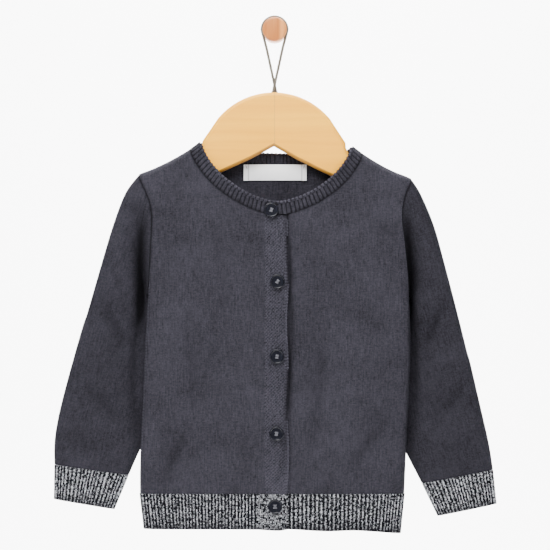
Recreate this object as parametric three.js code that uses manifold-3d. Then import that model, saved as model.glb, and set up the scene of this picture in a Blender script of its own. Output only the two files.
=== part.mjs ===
// Baby cardigan, about twelve months, buttoned and hung on a small wooden hanger.
// Millimetres. X runs along the hanger, Z is up, the front faces -Y.
// The origin is the middle of the peg's back face, where it meets the wall.

import * as THREE from "three";
import { mergeVertices } from "three/addons/utils/BufferGeometryUtils.js";
import Module from "manifold-3d";

const wasm = await Module();
wasm.setup();

// Cloth
const JERSEY = 1.5;
const RIB = 1.6;
const RIB_RISE = 0.7;
const HEM_RIB_PITCH = 3.25;
const CUFF_RIB_PITCH = 3.3;
const NECK_RIB_PITCH = 3.9;
const SEAM_GAP = 0.36;
const LAP_STEP = JERSEY + 0.65;

// Body: the middle plane of the cloth and how far it rounds out from that plane
const MID_Y = -27;
const SHOULDER_ROUND = 8.4;
const SIDE_POWER = 4.5;
const HEM_SEAM_Z = -407.8;
const HEM_BULGE_KEEP = 0.97;
const HEM_DRAW = { from: 40, to: 110 };
const HEM_PLAIN = { from: -17.5, to: 13 };
const BAND_WIDTH = 20.2;
const LAP_BLEND = 13;
const NECK_LAP_CLEAR = 2.2;
const BACK_UNDERARM_Z = -234;

// Neck: the seam round the body and the free edge of the rib
const NECK_MID_X = 1.5;
const NECK_TILT = -0.026;
const NECK_SEAM = { half: 75.5, top: -107, front: 57, back: 12 };
const NECK_EDGE = { half: 66.9, top: -100.6, front: 52.5, back: 9.6 };
const NECK_FRONT_POWER = 1.6;
const NECK_BACK_POWER = 3;
const NECK_CORNER_Z = -164;

// Hanger, peg and string
const HANGER = {
  thick: 11, chamfer: 2.5, tiltDeg: -0.7, top: -55.6, domeRadius: 64, domeEndDeg: 50,
  slotThick: 4.4, slotDeep: 16, slotRoom: 1.2, slotBelow: 0.4,
};
const HANGER_WAIST = [
  { x: 62.9, z: -99.2 }, { x: 63.4, z: -104 }, { x: 67.4, z: -112.4 }, { x: 76, z: -116.6 },
  { x: 98, z: -125.2 },
];
const HANGER_TIP = { x: 104, z: -136.6, radius: 6, high: 8 };
const HANGER_UNDER = [
  { x: 105, z: -148.8 }, { x: 52, z: -129.4 }, { x: 20, z: -114.2 }, { x: 0, z: -103 },
];
const STRING = { radius: 0.85, loopRadius: 11.05, crossZ: -49.1, endHalf: 2, endZ: -61.5 };
const PEG = { length: 32, lip: 10.9, groove: 9.85, grooveHalf: 1.7 };

// Buttons and label
const BUTTON = {
  radius: 6.35, thick: 2.8, rim: 1.1, well: 1, hole: 0.75, holeSpread: 1.35, standoff: 0.35,
};
const LABEL = { left: -27.5, right: 28.4, top: -118.6, bottom: -133, thick: 0.9, standoff: 0.35 };

// Each side is written with x counted outwards from the middle of the body
const SIDES = {
  right: {
    sign: -1,
    shoulder: [
      { x: 60, z: -96 }, { x: 66, z: -99.5 }, { x: 74.3, z: -105.2 }, { x: 82.4, z: -110.4 },
      { x: 94, z: -116.8 }, { x: 107.5, z: -123 }, { x: 119.5, z: -127.6 }, { x: 132, z: -136 },
    ],
    armhole: [
      { z: -127.6, x: 119.5 }, { z: -132.5, x: 118.3 }, { z: -139.8, x: 114.7 },
      { z: -147.8, x: 110.8 }, { z: -156.9, x: 108.3 }, { z: -166, x: 107.5 },
      { z: -185, x: 108.4 }, { z: -205, x: 109.6 }, { z: -220, x: 110.4 }, { z: -232, x: 111 },
    ],
    edge: [
      { z: -120, x: 133 }, { z: -150, x: 126 }, { z: -175, x: 120 }, { z: -205, x: 114 },
      { z: -232, x: 111 }, { z: -267, x: 113.4 }, { z: -326, x: 115.8 }, { z: -375, x: 118.2 },
      { z: -410, x: 118.4 }, { z: -445, x: 114.8 },
    ],
    fold: [
      { z: -120, x: 112 }, { z: -170, x: 110.6 }, { z: -190, x: 110.4 }, { z: -232, x: 111.5 },
      { z: -267, x: 113.4 }, { z: -326, x: 115.8 }, { z: -375, x: 118.2 }, { z: -445, x: 118.2 },
    ],
    outer: [
      { x: 119.5, z: -127.6 }, { x: 126.6, z: -136.1 }, { x: 131.8, z: -143.6 },
      { x: 142.4, z: -171.3 }, { x: 151, z: -199.5 }, { x: 163.3, z: -241.7 },
      { x: 175.6, z: -284 }, { x: 187.1, z: -326.2 }, { x: 192.4, z: -350 },
      { x: 194.6, z: -368 }, { x: 193.9, z: -382.9 },
    ],
    inner: [
      { x: 111, z: -232, y: -27 }, { x: 112, z: -235, y: -23.5 }, { x: 111.2, z: -240, y: -18 },
      { x: 108.7, z: -247, y: -15 }, { x: 105.5, z: -257, y: -13.5 },
      { x: 102.5, z: -271, y: -12.8 }, { x: 100.8, z: -290, y: -12.6 },
      { x: 101, z: -312, y: -12.6 }, { x: 104, z: -336, y: -13.2 }, { x: 110.5, z: -356, y: -16 },
      { x: 118.2, z: -369, y: -21 }, { x: 128.4, z: -392.3, y: -25 },
    ],
    cuff: { outer: { x: 194.3, z: -413.4 }, inner: { x: 141, z: -422.4 } },
    hemBottomX: 114.9,
  },
  left: {
    sign: 1,
    shoulder: [
      { x: 60, z: -99.4 }, { x: 66.6, z: -103.4 }, { x: 76.9, z: -110 }, { x: 90.4, z: -118.2 },
      { x: 103.9, z: -125 }, { x: 120.5, z: -131.6 }, { x: 133, z: -141 },
    ],
    armhole: [
      { z: -131.6, x: 120.5 }, { z: -136.4, x: 119.2 }, { z: -142.5, x: 115.8 },
      { z: -151.4, x: 112.9 }, { z: -160.4, x: 111.6 }, { z: -178.4, x: 112.9 },
      { z: -191.8, x: 114.6 }, { z: -209.9, x: 116.4 }, { z: -224, x: 117.6 }, { z: -236, x: 118.3 },
    ],
    edge: [
      { z: -120, x: 137 }, { z: -150, x: 131 }, { z: -175, x: 126 }, { z: -205, x: 121.5 },
      { z: -236, x: 118.3 }, { z: -267, x: 119.7 }, { z: -326, x: 118 }, { z: -373.7, x: 115.6 },
      { z: -410, x: 114 }, { z: -445, x: 110.6 },
    ],
    fold: [
      { z: -120, x: 116 }, { z: -165, x: 115.6 }, { z: -196, x: 116.5 }, { z: -236, x: 118.7 },
      { z: -267, x: 119.7 }, { z: -326, x: 118 }, { z: -373.7, x: 115.6 }, { z: -445, x: 114 },
    ],
    outer: [
      { x: 120.5, z: -131.6 }, { x: 124.4, z: -137 }, { x: 128.6, z: -144 },
      { x: 140.3, z: -171.3 }, { x: 148.4, z: -199.5 }, { x: 159.6, z: -241.7 },
      { x: 170.2, z: -284 }, { x: 180, z: -326.2 }, { x: 185.6, z: -350 },
      { x: 189.6, z: -368 }, { x: 192.4, z: -387.5 },
    ],
    inner: [
      { x: 118.3, z: -236, y: -27 }, { x: 119.5, z: -239, y: -23.5 }, { x: 118.8, z: -244, y: -18 },
      { x: 116.2, z: -251, y: -15 }, { x: 112.5, z: -261, y: -13.5 },
      { x: 108, z: -275, y: -12.8 }, { x: 104.8, z: -294, y: -12.6 },
      { x: 103, z: -316, y: -12.6 }, { x: 104.6, z: -340, y: -13.2 }, { x: 109.5, z: -360, y: -16 },
      { x: 116.8, z: -374.5, y: -21 }, { x: 129.6, z: -399.6, y: -25 },
    ],
    cuff: { outer: { x: 195.4, z: -417.6 }, inner: { x: 143.6, z: -428.3 } },
    hemBottomX: 110.7,
  },
};

// How far the cloth stands out beyond the shoulder rounding, by the drop below the shoulder
const FRONT_SWELL = [
  { drop: 0, out: 0 }, { drop: 30, out: 1.2 }, { drop: 60, out: 4 }, { drop: 100, out: 8 },
  { drop: 160, out: 10.4 }, { drop: 220, out: 10.4 }, { drop: 280, out: 8.8 },
  { drop: 310, out: 7.4 }, { drop: 350, out: 7 },
];
const BACK_SWELL = [
  { drop: 0, out: 0 }, { drop: 60, out: 1 }, { drop: 150, out: 2 }, { drop: 310, out: 0.8 },
  { drop: 350, out: 0.8 },
];

// Lower edge of the hem rib, and the buttoned edge of the upper front
const HEM_BOTTOM = [
  { x: -120, z: -439 }, { x: -17, z: -439.2 }, { x: 4, z: -440.2 }, { x: 12.3, z: -439 },
  { x: 45, z: -440.6 }, { x: 72, z: -440 }, { x: 112, z: -443 },
];
const BUTTONED_EDGE = [
  { z: -445, x: 12.1 }, { z: -405, x: 11.2 }, { z: -361, x: 12.6 }, { z: -344, x: 10.5 },
  { z: -317, x: 10.8 }, { z: -288, x: 12 }, { z: -262, x: 9.8 }, { z: -219, x: 12.2 },
  { z: -174, x: 11 }, { z: -150, x: 12 },
];
const BUTTONS = [
  { x: -2.8, z: -159.4, turnDeg: 20 }, { x: 2.6, z: -222, turnDeg: 32 },
  { x: 2.1, z: -287.4, turnDeg: 12 }, { x: 1.6, z: -354.8, turnDeg: 6 },
  { x: 0.4, z: -418.6, turnDeg: 2 },
];

// Large soft folds: a line from (x, z) to (toX, toZ), its half width and how deep it goes in
const FRONT_FOLDS = [
  { x: -72, z: -180, toX: -38, toZ: -252, width: 16, depth: 1.6 },
  { x: -78, z: -236, toX: -67, toZ: -345, width: 13, depth: 2 },
  { x: -70, z: -350, toX: -104, toZ: -406, width: 12, depth: 1.8 },
  { x: 50, z: -245, toX: 30, toZ: -392, width: 14, depth: 2.2 },
  { x: 60, z: -396, toX: 108, toZ: -330, width: 13, depth: 1.9 },
  { x: 74, z: -152, toX: 106, toZ: -190, width: 11, depth: 1.4 },
  { x: -46, z: -300, toX: -30, toZ: -396, width: 12, depth: -1.2 },
  { x: 84, z: -235, toX: 80, toZ: -318, width: 14, depth: -1.3 },
];
const BACK_FOLDS = [
  { x: -60, z: -150, toX: -34, toZ: -300, width: 17, depth: 1.7 },
  { x: 62, z: -160, toX: 44, toZ: -320, width: 17, depth: 1.9 },
  { x: 4, z: -210, toX: -8, toZ: -392, width: 16, depth: 1.3 },
  { x: -96, z: -250, toX: -74, toZ: -398, width: 13, depth: 1.5 },
  { x: 98, z: -262, toX: 80, toZ: -396, width: 13, depth: 1.5 },
];
const SLEEVE_FOLDS = [
  { x: 150, z: -238, toX: 132, toZ: -290, width: 9, depth: 2 },
  { x: 166, z: -262, toX: 140, toZ: -322, width: 8, depth: -1.2 },
  { x: 176, z: -318, toX: 134, toZ: -352, width: 8, depth: 1.6 },
  { x: 142, z: -176, toX: 132, toZ: -214, width: 8, depth: -1.2 },
];

const COLOURS = {
  jersey: 0x45444d, rib: 0x6e6f73, neck: 0x3d3c45, wood: 0xefcd9c, peg: 0xd8b08e,
  cord: 0xb9ab98, button: 0x14151c, label: 0xe6e5e6,
};

const clamp01 = (value) => Math.min(1, Math.max(0, value));
const mix = (a, b, share) => a + (b - a) * share;
const ramp = (from, to, value) => {
  const share = clamp01((value - from) / (to - from));
  return share * share * (3 - 2 * share);
};

// A smooth value read from a table's named columns, whose keys rise or fall all the way
function readTable(table, keyName, valueName, key) {
  const falling = table[0][keyName] > table[table.length - 1][keyName];
  const rows = falling ? [...table].reverse() : table;
  const last = rows.length - 1;
  if (key <= rows[0][keyName]) return rows[0][valueName];
  if (key >= rows[last][keyName]) return rows[last][valueName];
  const at = rows.findIndex((row, index) => index < last && key < rows[index + 1][keyName]);
  const slopeAt = (index) => {
    const before = rows[Math.max(0, index - 1)];
    const after = rows[Math.min(last, index + 1)];
    return (after[valueName] - before[valueName]) / (after[keyName] - before[keyName]);
  };
  const start = rows[at];
  const end = rows[at + 1];
  const span = end[keyName] - start[keyName];
  const t = (key - start[keyName]) / span;
  const bend = t * t * (3 - 2 * t);
  const leave = t * (1 - t) * (1 - t) * span * slopeAt(at);
  const arrive = t * t * (t - 1) * span * slopeAt(at + 1);
  return mix(start[valueName], end[valueName], bend) + leave + arrive;
}

const sideOf = (x) => (x < 0 ? SIDES.right : SIDES.left);
const shoulderZ = (x) => readTable(sideOf(x).shoulder, "x", "z", Math.abs(x));
const edgeX = (side, z) => readTable(side.edge, "z", "x", z);
const armholeX = (side, z) => readTable(side.armhole, "z", "x", z);
const foldX = (side, z) => readTable(side.fold, "z", "x", z);
const underarmZ = (side) => side.armhole[side.armhole.length - 1].z;
const shoulderTip = (side) => side.armhole[0];
const sideX = (side, z) => (z > underarmZ(side) ? armholeX(side, z) : edgeX(side, z));

// How much of a fold's depth reaches a point
function foldDepth(folds, x, z) {
  let total = 0;
  for (const fold of folds) {
    const along = new THREE.Vector2(fold.toX - fold.x, fold.toZ - fold.z);
    const from = new THREE.Vector2(x - fold.x, z - fold.z);
    const share = from.dot(along) / along.lengthSq();
    const off = Math.abs(from.cross(along)) / along.length();
    const ends = ramp(-0.12, 0.25, share) * ramp(1.12, 0.75, share);
    total += fold.depth * ends * Math.exp(-((off / fold.width) ** 2));
  }
  return total;
}

// Depth of the body's cloth at (x, z), from the middle plane out to the front or the back
function bodyDepth(x, z, swell, folds) {
  const drop = Math.max(0, shoulderZ(x) - z);
  const over = Math.sqrt(1 - (1 - clamp01(drop / SHOULDER_ROUND)) ** 2);
  const across = clamp01(Math.abs(x) / edgeX(sideOf(x), z));
  const round = (1 - across ** SIDE_POWER) ** (1 / SIDE_POWER);
  const out = SHOULDER_ROUND * over + readTable(swell, "drop", "out", drop);
  return round * (out - foldDepth(folds, x, z) * over * round);
}
const frontY = (x, z) => MID_Y - bodyDepth(x, z, FRONT_SWELL, FRONT_FOLDS);
const backY = (x, z) => MID_Y + bodyDepth(x, z, BACK_SWELL, BACK_FOLDS);

// The lower front lies one cloth behind the upper front where they lap
function lappedFrontY(x, z) {
  const edge = readTable(BUTTONED_EDGE, "z", "x", z);
  return frontY(x, z) + LAP_STEP * ramp(edge + LAP_BLEND, edge + 1.5, x);
}

// Neck curves: turn 0 is the left shoulder as seen, 1 the middle and 2 the right shoulder
function neckPoint(ring, reach, power, turn) {
  const angle = (Math.PI / 2) * turn;
  const across = Math.abs(Math.cos(angle)) ** (2 / power) * Math.sign(Math.cos(angle));
  const down = Math.sin(angle) ** (2 / power);
  const x = NECK_MID_X - ring.half * across;
  return { x, z: ring.top + NECK_TILT * x - reach * down };
}
const frontNeck = (ring, turn) => neckPoint(ring, ring.front, NECK_FRONT_POWER, turn);
const backNeck = (ring, turn) => neckPoint(ring, ring.back, NECK_BACK_POWER, turn);

// The turn at which the front neck seam passes an x, found by halving
function frontTurnAt(x) {
  let low = 0;
  let high = 2;
  for (let step = 0; step < 40; step += 1) {
    const middle = (low + high) / 2;
    if (frontNeck(NECK_SEAM, middle).x < x) low = middle;
    else high = middle;
  }
  return low;
}

// Cloth pieces are grids of outer points. Normals at a seam are shared by what meets there.
const seamNormals = new Map();
const cloth = [];
const pointKey = (p) => [p.x, p.y, p.z].map((value) => Math.round(value * 200)).join(" ");

function addCloth(name, grid, options) {
  const rows = grid.length;
  const columns = grid[0].length;
  const closed = options.closed ?? false;
  const at = (j, i) => grid[j][closed ? (i + columns) % columns : i];
  const normals = grid.map((row, j) => row.map((point, i) => {
    const along = at(j, closed ? i + 1 : Math.min(columns - 1, i + 1)).clone();
    along.sub(at(j, closed ? i - 1 : Math.max(0, i - 1)));
    const up = at(Math.min(rows - 1, j + 1), i).clone().sub(at(Math.max(0, j - 1), i));
    return along.cross(up).normalize();
  }));
  let facing = 0;
  grid.forEach((row, j) => row.forEach((point, i) => {
    facing += normals[j][i].dot(options.outward(point));
  }));
  const flip = facing < 0 ? -1 : 1;
  normals.forEach((row) => row.forEach((normal) => normal.multiplyScalar(flip)));
  grid.forEach((row, j) => row.forEach((point, i) => {
    const inside = j > 0 && j < rows - 1 && (closed || (i > 0 && i < columns - 1));
    if (inside) return;
    const key = pointKey(point);
    const sum = seamNormals.get(key) ?? new THREE.Vector3();
    seamNormals.set(key, sum.add(normals[j][i]));
  }));
  cloth.push({ name, grid, normals, closed, ...options });
}

function sharedNormal(piece, j, i) {
  const own = piece.normals[j][i];
  const point = piece.grid[j][i];
  const sum = seamNormals.get(pointKey(point));
  if (!sum || sum.lengthSq() < 0.01) return own;
  const shared = sum.clone().normalize();
  const near = shared.dot(own) > 0.2 ? shared : own.clone();
  const onMiddle = !piece.closed && Math.abs(point.y - MID_Y) < 0.02;
  return onMiddle ? near.setY(0).normalize() : near;
}

// A closed wall: the outer points, the plain inner points, and strips round the edges
function wallGeometry(piece) {
  const { grid, closed, thick } = piece;
  const rows = grid.length;
  const columns = grid[0].length;
  const rise = piece.rise ?? (() => 0);
  const positions = [];
  const placed = grid.map((row, j) => row.map((point, i) => {
    const moved = point.clone();
    const pull = (other) => {
      const toward = other.clone().sub(point);
      moved.addScaledVector(toward.normalize(), piece.pull ?? SEAM_GAP / 2);
    };
    if (j === 0) pull(grid[1][i]);
    if (j === rows - 1) pull(grid[rows - 2][i]);
    if (!closed && i === 0) pull(row[1]);
    if (!closed && i === columns - 1) pull(row[columns - 2]);
    return moved;
  }));
  for (const layer of [0, 1]) {
    placed.forEach((row, j) => row.forEach((point, i) => {
      const normal = sharedNormal(piece, j, i);
      const shift = layer === 0 ? rise(j, i) : -thick;
      positions.push(...point.clone().addScaledVector(normal, shift).toArray());
    }));
  }
  const index = [];
  const inner = rows * columns;
  const id = (j, i) => j * columns + (closed ? i % columns : i);
  const quad = (a, b, c, d) => index.push(a, b, c, a, c, d);
  const across = closed ? columns : columns - 1;
  for (let j = 0; j < rows - 1; j += 1) {
    for (let i = 0; i < across; i += 1) {
      const corners = [id(j, i), id(j, i + 1), id(j + 1, i + 1), id(j + 1, i)];
      quad(...corners);
      quad(...corners.reverse().map((corner) => corner + inner));
    }
  }
  for (let i = 0; i < across; i += 1) {
    const low = [id(0, i), id(0, i + 1)];
    const high = [id(rows - 1, i), id(rows - 1, i + 1)];
    quad(low[1], low[0], low[0] + inner, low[1] + inner);
    quad(high[0], high[1], high[1] + inner, high[0] + inner);
  }
  for (let j = 0; j < rows - 1 && !closed; j += 1) {
    const near = [id(j, 0), id(j + 1, 0)];
    const far = [id(j, columns - 1), id(j + 1, columns - 1)];
    quad(near[0], near[1], near[1] + inner, near[0] + inner);
    quad(far[1], far[0], far[0] + inner, far[1] + inner);
  }
  return facingOut(positions, index);
}

// Turns every triangle over when the closed mesh has a negative volume
function facingOut(positions, index) {
  const corner = (id) => new THREE.Vector3().fromArray(positions, id * 3);
  let volume = 0;
  for (let at = 0; at < index.length; at += 3) {
    const [a, b, c] = [corner(index[at]), corner(index[at + 1]), corner(index[at + 2])];
    volume += a.dot(b.cross(c));
  }
  if (volume < 0) {
    for (let at = 0; at < index.length; at += 3) {
      [index[at + 1], index[at + 2]] = [index[at + 2], index[at + 1]];
    }
  }
  const geometry = new THREE.BufferGeometry();
  geometry.setAttribute("position", new THREE.Float32BufferAttribute(positions, 3));
  geometry.setIndex(index);
  geometry.computeVertexNormals();
  return geometry;
}

// Rows of a front: from the hem seam to the underarm, up the armhole, then over the shoulder
const ROWS_BELOW = 10;
const ROWS_ARMHOLE = 9;
const ROLL_SHARES = [0.55, 0.2, 0];
const NECK_CORNER_ROW = ROWS_BELOW + 3;
const ROWS = ROWS_BELOW + ROWS_ARMHOLE + ROLL_SHARES.length;
const ROLL_ROW = ROWS_BELOW + ROWS_ARMHOLE;

function sideRowZ(side, j) {
  const under = underarmZ(side);
  const tip = shoulderTip(side);
  const rollStart = tip.z - SHOULDER_ROUND;
  if (j <= ROWS_BELOW) return mix(HEM_SEAM_Z, under, j / ROWS_BELOW);
  if (j <= ROLL_ROW) return mix(under, rollStart, (j - ROWS_BELOW) / ROWS_ARMHOLE);
  return tip.z - SHOULDER_ROUND * ROLL_SHARES[j - ROLL_ROW - 1];
}

// The point of the front neck seam where the drop below the shoulder is a share of the rounding
function neckTurnAtDrop(side, share) {
  let low = side.sign < 0 ? 0 : 2;
  let high = 1;
  for (let step = 0; step < 40; step += 1) {
    const middle = (low + high) / 2;
    const point = frontNeck(NECK_SEAM, middle);
    const drop = shoulderZ(point.x) - point.z;
    if (drop < share * SHOULDER_ROUND) low = middle;
    else high = middle;
  }
  return low;
}

function neckRowTurn(side, frontX, j) {
  const corner = frontTurnAt(frontX);
  const rollTurn = neckTurnAtDrop(side, 1);
  if (j <= ROLL_ROW) {
    return mix(corner, rollTurn, (j - NECK_CORNER_ROW) / (ROLL_ROW - NECK_CORNER_ROW));
  }
  const share = ROLL_SHARES[j - ROLL_ROW - 1];
  return share === 0 ? (side.sign < 0 ? 0 : 2) : neckTurnAtDrop(side, share);
}

// Shares from the side to the middle: close together where the cloth rounds at the side
const LOW_SHARES = [
  0, 0.008, 0.033, 0.075, 0.14, 0.22, 0.31, 0.4, 0.49, 0.58, 0.67, 0.76, 0.85, 0.93, 1,
];
const evenShare = (i) => i / (LOW_SHARES.length - 1);

function frontGrid(side, middleX, surfaceY) {
  const grid = [];
  const cornerX = middleX(NECK_CORNER_Z);
  const cornerZ = frontNeck(NECK_SEAM, frontTurnAt(cornerX)).z;
  for (let j = 0; j <= ROWS; j += 1) {
    const startZ = sideRowZ(side, j);
    const start = { x: side.sign * sideX(side, startZ), z: startZ };
    const middleZ = mix(HEM_SEAM_Z, cornerZ, j / NECK_CORNER_ROW);
    const end = j < NECK_CORNER_ROW
      ? { x: middleX(middleZ), z: middleZ }
      : frontNeck(NECK_SEAM, neckRowTurn(side, cornerX, j));
    const upper = ramp(NECK_CORNER_ROW, ROLL_ROW, j);
    const row = LOW_SHARES.map((low, i) => {
      const share = mix(low, evenShare(i), upper);
      const x = mix(start.x, end.x, share);
      const straight = mix(start.z, end.z, share);
      const level = mix(shoulderZ(start.x), shoulderZ(end.x), share);
      const z = straight + upper * (shoulderZ(x) - level);
      return new THREE.Vector3(x, surfaceY(x, z), z);
    });
    grid.push(row);
  }
  return grid;
}

const buttonedX = (z) => readTable(BUTTONED_EDGE, "z", "x", z);
const underX = (z) => buttonedX(z) - BAND_WIDTH;
const facesFront = () => new THREE.Vector3(0, -1, 0);
const facesBack = () => new THREE.Vector3(0, 1, 0);

const rightFront = frontGrid(SIDES.right, buttonedX, frontY);
const leftFront = frontGrid(SIDES.left, underX, lappedFrontY);
addCloth("right_front", rightFront, { thick: JERSEY, outward: facesFront, colour: COLOURS.jersey });
addCloth("left_front", leftFront, { thick: JERSEY, outward: facesFront, colour: COLOURS.jersey });

// Back: columns from one side to the other, the upper ones placed for shoulders and neck
const BACK_ROWS_BELOW = 8;
const BACK_ROWS_ARMHOLE = 5;
const BACK_COLUMNS = [
  { low: 0, top: 0 }, { low: 0.1, top: 0.092 }, { low: 0.2, top: 0.184 }, { low: 0.3, top: 0.276 },
  { low: 0.4, top: 0.368 }, { low: 0.5, top: 0.46 }, { low: 0.6, top: 0.535 },
  { low: 0.7, top: 0.585 }, { low: 0.79, top: 0.632 }, { low: 0.87, top: 0.73 },
  { low: 0.94, top: 0.82 }, { low: 0.985, top: 0.915 }, { low: 1, top: 1 },
];
const BACK_NECK_COLUMN = 8;
const BACK_LAST_COLUMN = BACK_COLUMNS.length - 1;

// The highest x of a back column: along the neck seam first, then along the shoulder
function backTopX(side, id) {
  if (id <= BACK_NECK_COLUMN) return neckColumnX(side, id);
  const share = (id - BACK_NECK_COLUMN) / (BACK_LAST_COLUMN - BACK_NECK_COLUMN);
  return mix(neckCornerX(side), shoulderTip(side).x, share);
}

function backGrid() {
  const half = BACK_COLUMNS.map((column, id) => ({ ...column, id }));
  const columns = [
    ...half.slice(1).reverse().map((column) => ({ ...column, side: SIDES.right })),
    ...half.map((column) => ({ ...column, side: SIDES.left })),
  ];
  const rowsUp = BACK_ROWS_ARMHOLE + ROLL_SHARES.length;
  const grid = [];
  for (let j = 0; j <= BACK_ROWS_BELOW + rowsUp; j += 1) {
    const up = j - BACK_ROWS_BELOW;
    const row = columns.map((column) => {
      const { side } = column;
      const tip = shoulderTip(side);
      const under = mix(BACK_UNDERARM_Z, underarmZ(side), column.low);
      if (up <= 0) {
        const z = mix(HEM_SEAM_Z, under, j / BACK_ROWS_BELOW);
        const widthZ = column.id === BACK_LAST_COLUMN ? z : Math.min(z, underarmZ(side));
        const x = side.sign * column.low * sideX(side, widthZ);
        return new THREE.Vector3(x, backY(x, z), z);
      }
      const topX = backTopX(side, column.id);
      const topZ = column.id > BACK_NECK_COLUMN
        ? shoulderZ(side.sign * topX)
        : backSeamZ(side.sign * topX);
      const startZ = topZ - SHOULDER_ROUND;
      const roll = up > BACK_ROWS_ARMHOLE;
      const z = roll
        ? topZ - SHOULDER_ROUND * ROLL_SHARES[up - BACK_ROWS_ARMHOLE - 1]
        : mix(under, startZ, up / BACK_ROWS_ARMHOLE);
      const rise = roll ? 1 : up / BACK_ROWS_ARMHOLE;
      const rollStart = tip.z - SHOULDER_ROUND;
      const sideZ = roll
        ? tip.z - SHOULDER_ROUND * ROLL_SHARES[up - BACK_ROWS_ARMHOLE - 1]
        : mix(underarmZ(side), rollStart, rise);
      const x = side.sign * mix(column.low, topX / tip.x, rise) * armholeX(side, sideZ);
      return new THREE.Vector3(x, backY(x, z), z);
    });
    grid.push(row);
  }
  return grid;
}

// Half of the neck seam's width on one side, measured from x = 0
function neckCornerX(side) {
  return Math.abs(backNeck(NECK_SEAM, side.sign < 0 ? 0 : 2).x);
}
function neckColumnX(side, id) {
  const share = BACK_COLUMNS[id].top / BACK_COLUMNS[BACK_NECK_COLUMN].top;
  return share * neckCornerX(side);
}
function backSeamZ(x) {
  const across = clamp01(Math.abs((x - NECK_MID_X) / NECK_SEAM.half));
  const down = (1 - across ** NECK_BACK_POWER) ** (1 / NECK_BACK_POWER);
  return NECK_SEAM.top + NECK_TILT * x - NECK_SEAM.back * down;
}

const back = backGrid();
addCloth("back_panel", back, { thick: JERSEY, outward: facesBack, colour: COLOURS.jersey });

// Points of a polyline with each stretch cut into whole ribs of two columns
function ribColumns(line, pitch) {
  const columns = [];
  line.forEach((point, i) => {
    if (i === line.length - 1) return;
    const next = line[i + 1];
    const ribs = Math.max(1, Math.round(point.distanceTo(next) / pitch));
    for (let step = 0; step < ribs * 2; step += 1) {
      columns.push({ at: i, share: step / (ribs * 2) });
    }
  });
  columns.push({ at: line.length - 2, share: 1 });
  return columns;
}
const pointOn = (line, column) => line[column.at].clone().lerp(line[column.at + 1], column.share);

// Hem ribs hang from the lowest row of their panel and draw in a little to the lower edge
function addHem(name, seamLine, outward, plainFrom) {
  const columns = ribColumns(seamLine, HEM_RIB_PITCH);
  const top = columns.map((column) => pointOn(seamLine, column));
  const low = top.map((point) => {
    const side = sideOf(point.x);
    const draw = side.hemBottomX / edgeX(side, HEM_SEAM_Z);
    const reach = ramp(HEM_DRAW.from, HEM_DRAW.to, Math.abs(point.x));
    const x = point.x * mix(1, draw, reach);
    const y = MID_Y + (point.y - MID_Y) * HEM_BULGE_KEEP;
    return new THREE.Vector3(x, y, readTable(HEM_BOTTOM, "x", "z", x));
  });
  const rise = (j, i) => {
    if (plainFrom(top[i].x)) return 0;
    return i % 2 === 1 ? RIB_RISE : 0;
  };
  addCloth(name, [low, top], { thick: RIB, outward, rise, colour: COLOURS.rib });
}
addHem("right_front_hem_rib", rightFront[0], facesFront, (x) => x > HEM_PLAIN.from);
addHem("left_front_hem_rib", leftFront[0], facesFront, (x) => x < HEM_PLAIN.to);
addHem("back_hem_rib", back[0], facesBack, () => false);

// Neck rib: one strip from the upper front's edge round the back to the end that laps under
function addNeckRib() {
  const frontTop = rightFront.slice(NECK_CORNER_ROW).map((row) => row[row.length - 1]);
  const frontUnder = leftFront.slice(NECK_CORNER_ROW).map((row) => row[row.length - 1]);
  const backRow = back[back.length - 1];
  const middle = (backRow.length - 1) / 2;
  const backLine = backRow.slice(middle - BACK_NECK_COLUMN, middle + BACK_NECK_COLUMN + 1);
  const turnsTop = rightFront.slice(NECK_CORNER_ROW).map((row, step) => (
    neckRowTurn(SIDES.right, buttonedX(NECK_CORNER_Z), step + NECK_CORNER_ROW)));
  const turnsUnder = leftFront.slice(NECK_CORNER_ROW).map((row, step) => (
    neckRowTurn(SIDES.left, underX(NECK_CORNER_Z), step + NECK_CORNER_ROW)));
  const backTurns = backLine.map((point) => {
    const across = Math.max(-1, Math.min(1, (NECK_MID_X - point.x) / NECK_SEAM.half));
    const cosine = Math.sign(across) * Math.abs(across) ** (NECK_BACK_POWER / 2);
    return Math.acos(cosine) / (Math.PI / 2);
  });
  const line = [...frontTop, ...backLine.slice(1), ...frontUnder.reverse().slice(1)];
  const turns = [...turnsTop, ...backTurns.slice(1), ...turnsUnder.reverse().slice(1)];
  const backStart = frontTop.length - 1;
  const backEnd = backStart + backLine.length - 1;
  const columns = ribColumns(line, NECK_RIB_PITCH);
  const seam = columns.map((column) => pointOn(line, column));
  const edge = columns.map((column) => {
    const turn = mix(turns[column.at], turns[column.at + 1], column.share);
    if (column.at >= backStart && column.at < backEnd) {
      const point = backNeck(NECK_EDGE, turn);
      return new THREE.Vector3(point.x, backY(point.x, point.z), point.z);
    }
    const point = frontNeck(NECK_EDGE, turn);
    const surface = column.at < backStart ? frontY : lappedFrontY;
    return new THREE.Vector3(point.x, surface(point.x, point.z), point.z);
  });
  const rise = (j, i) => {
    const laps = columns[i].at >= backEnd && seam[i].x < buttonedX(NECK_CORNER_Z) + NECK_LAP_CLEAR;
    return !laps && i % 2 === 1 ? RIB_RISE : 0;
  };
  const outward = (p) => new THREE.Vector3(0, p.y - MID_Y, 0);
  const colour = COLOURS.neck;
  addCloth("neck_rib", [seam, edge], { thick: RIB, outward, rise, pull: SEAM_GAP, colour });
}
addNeckRib();

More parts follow.
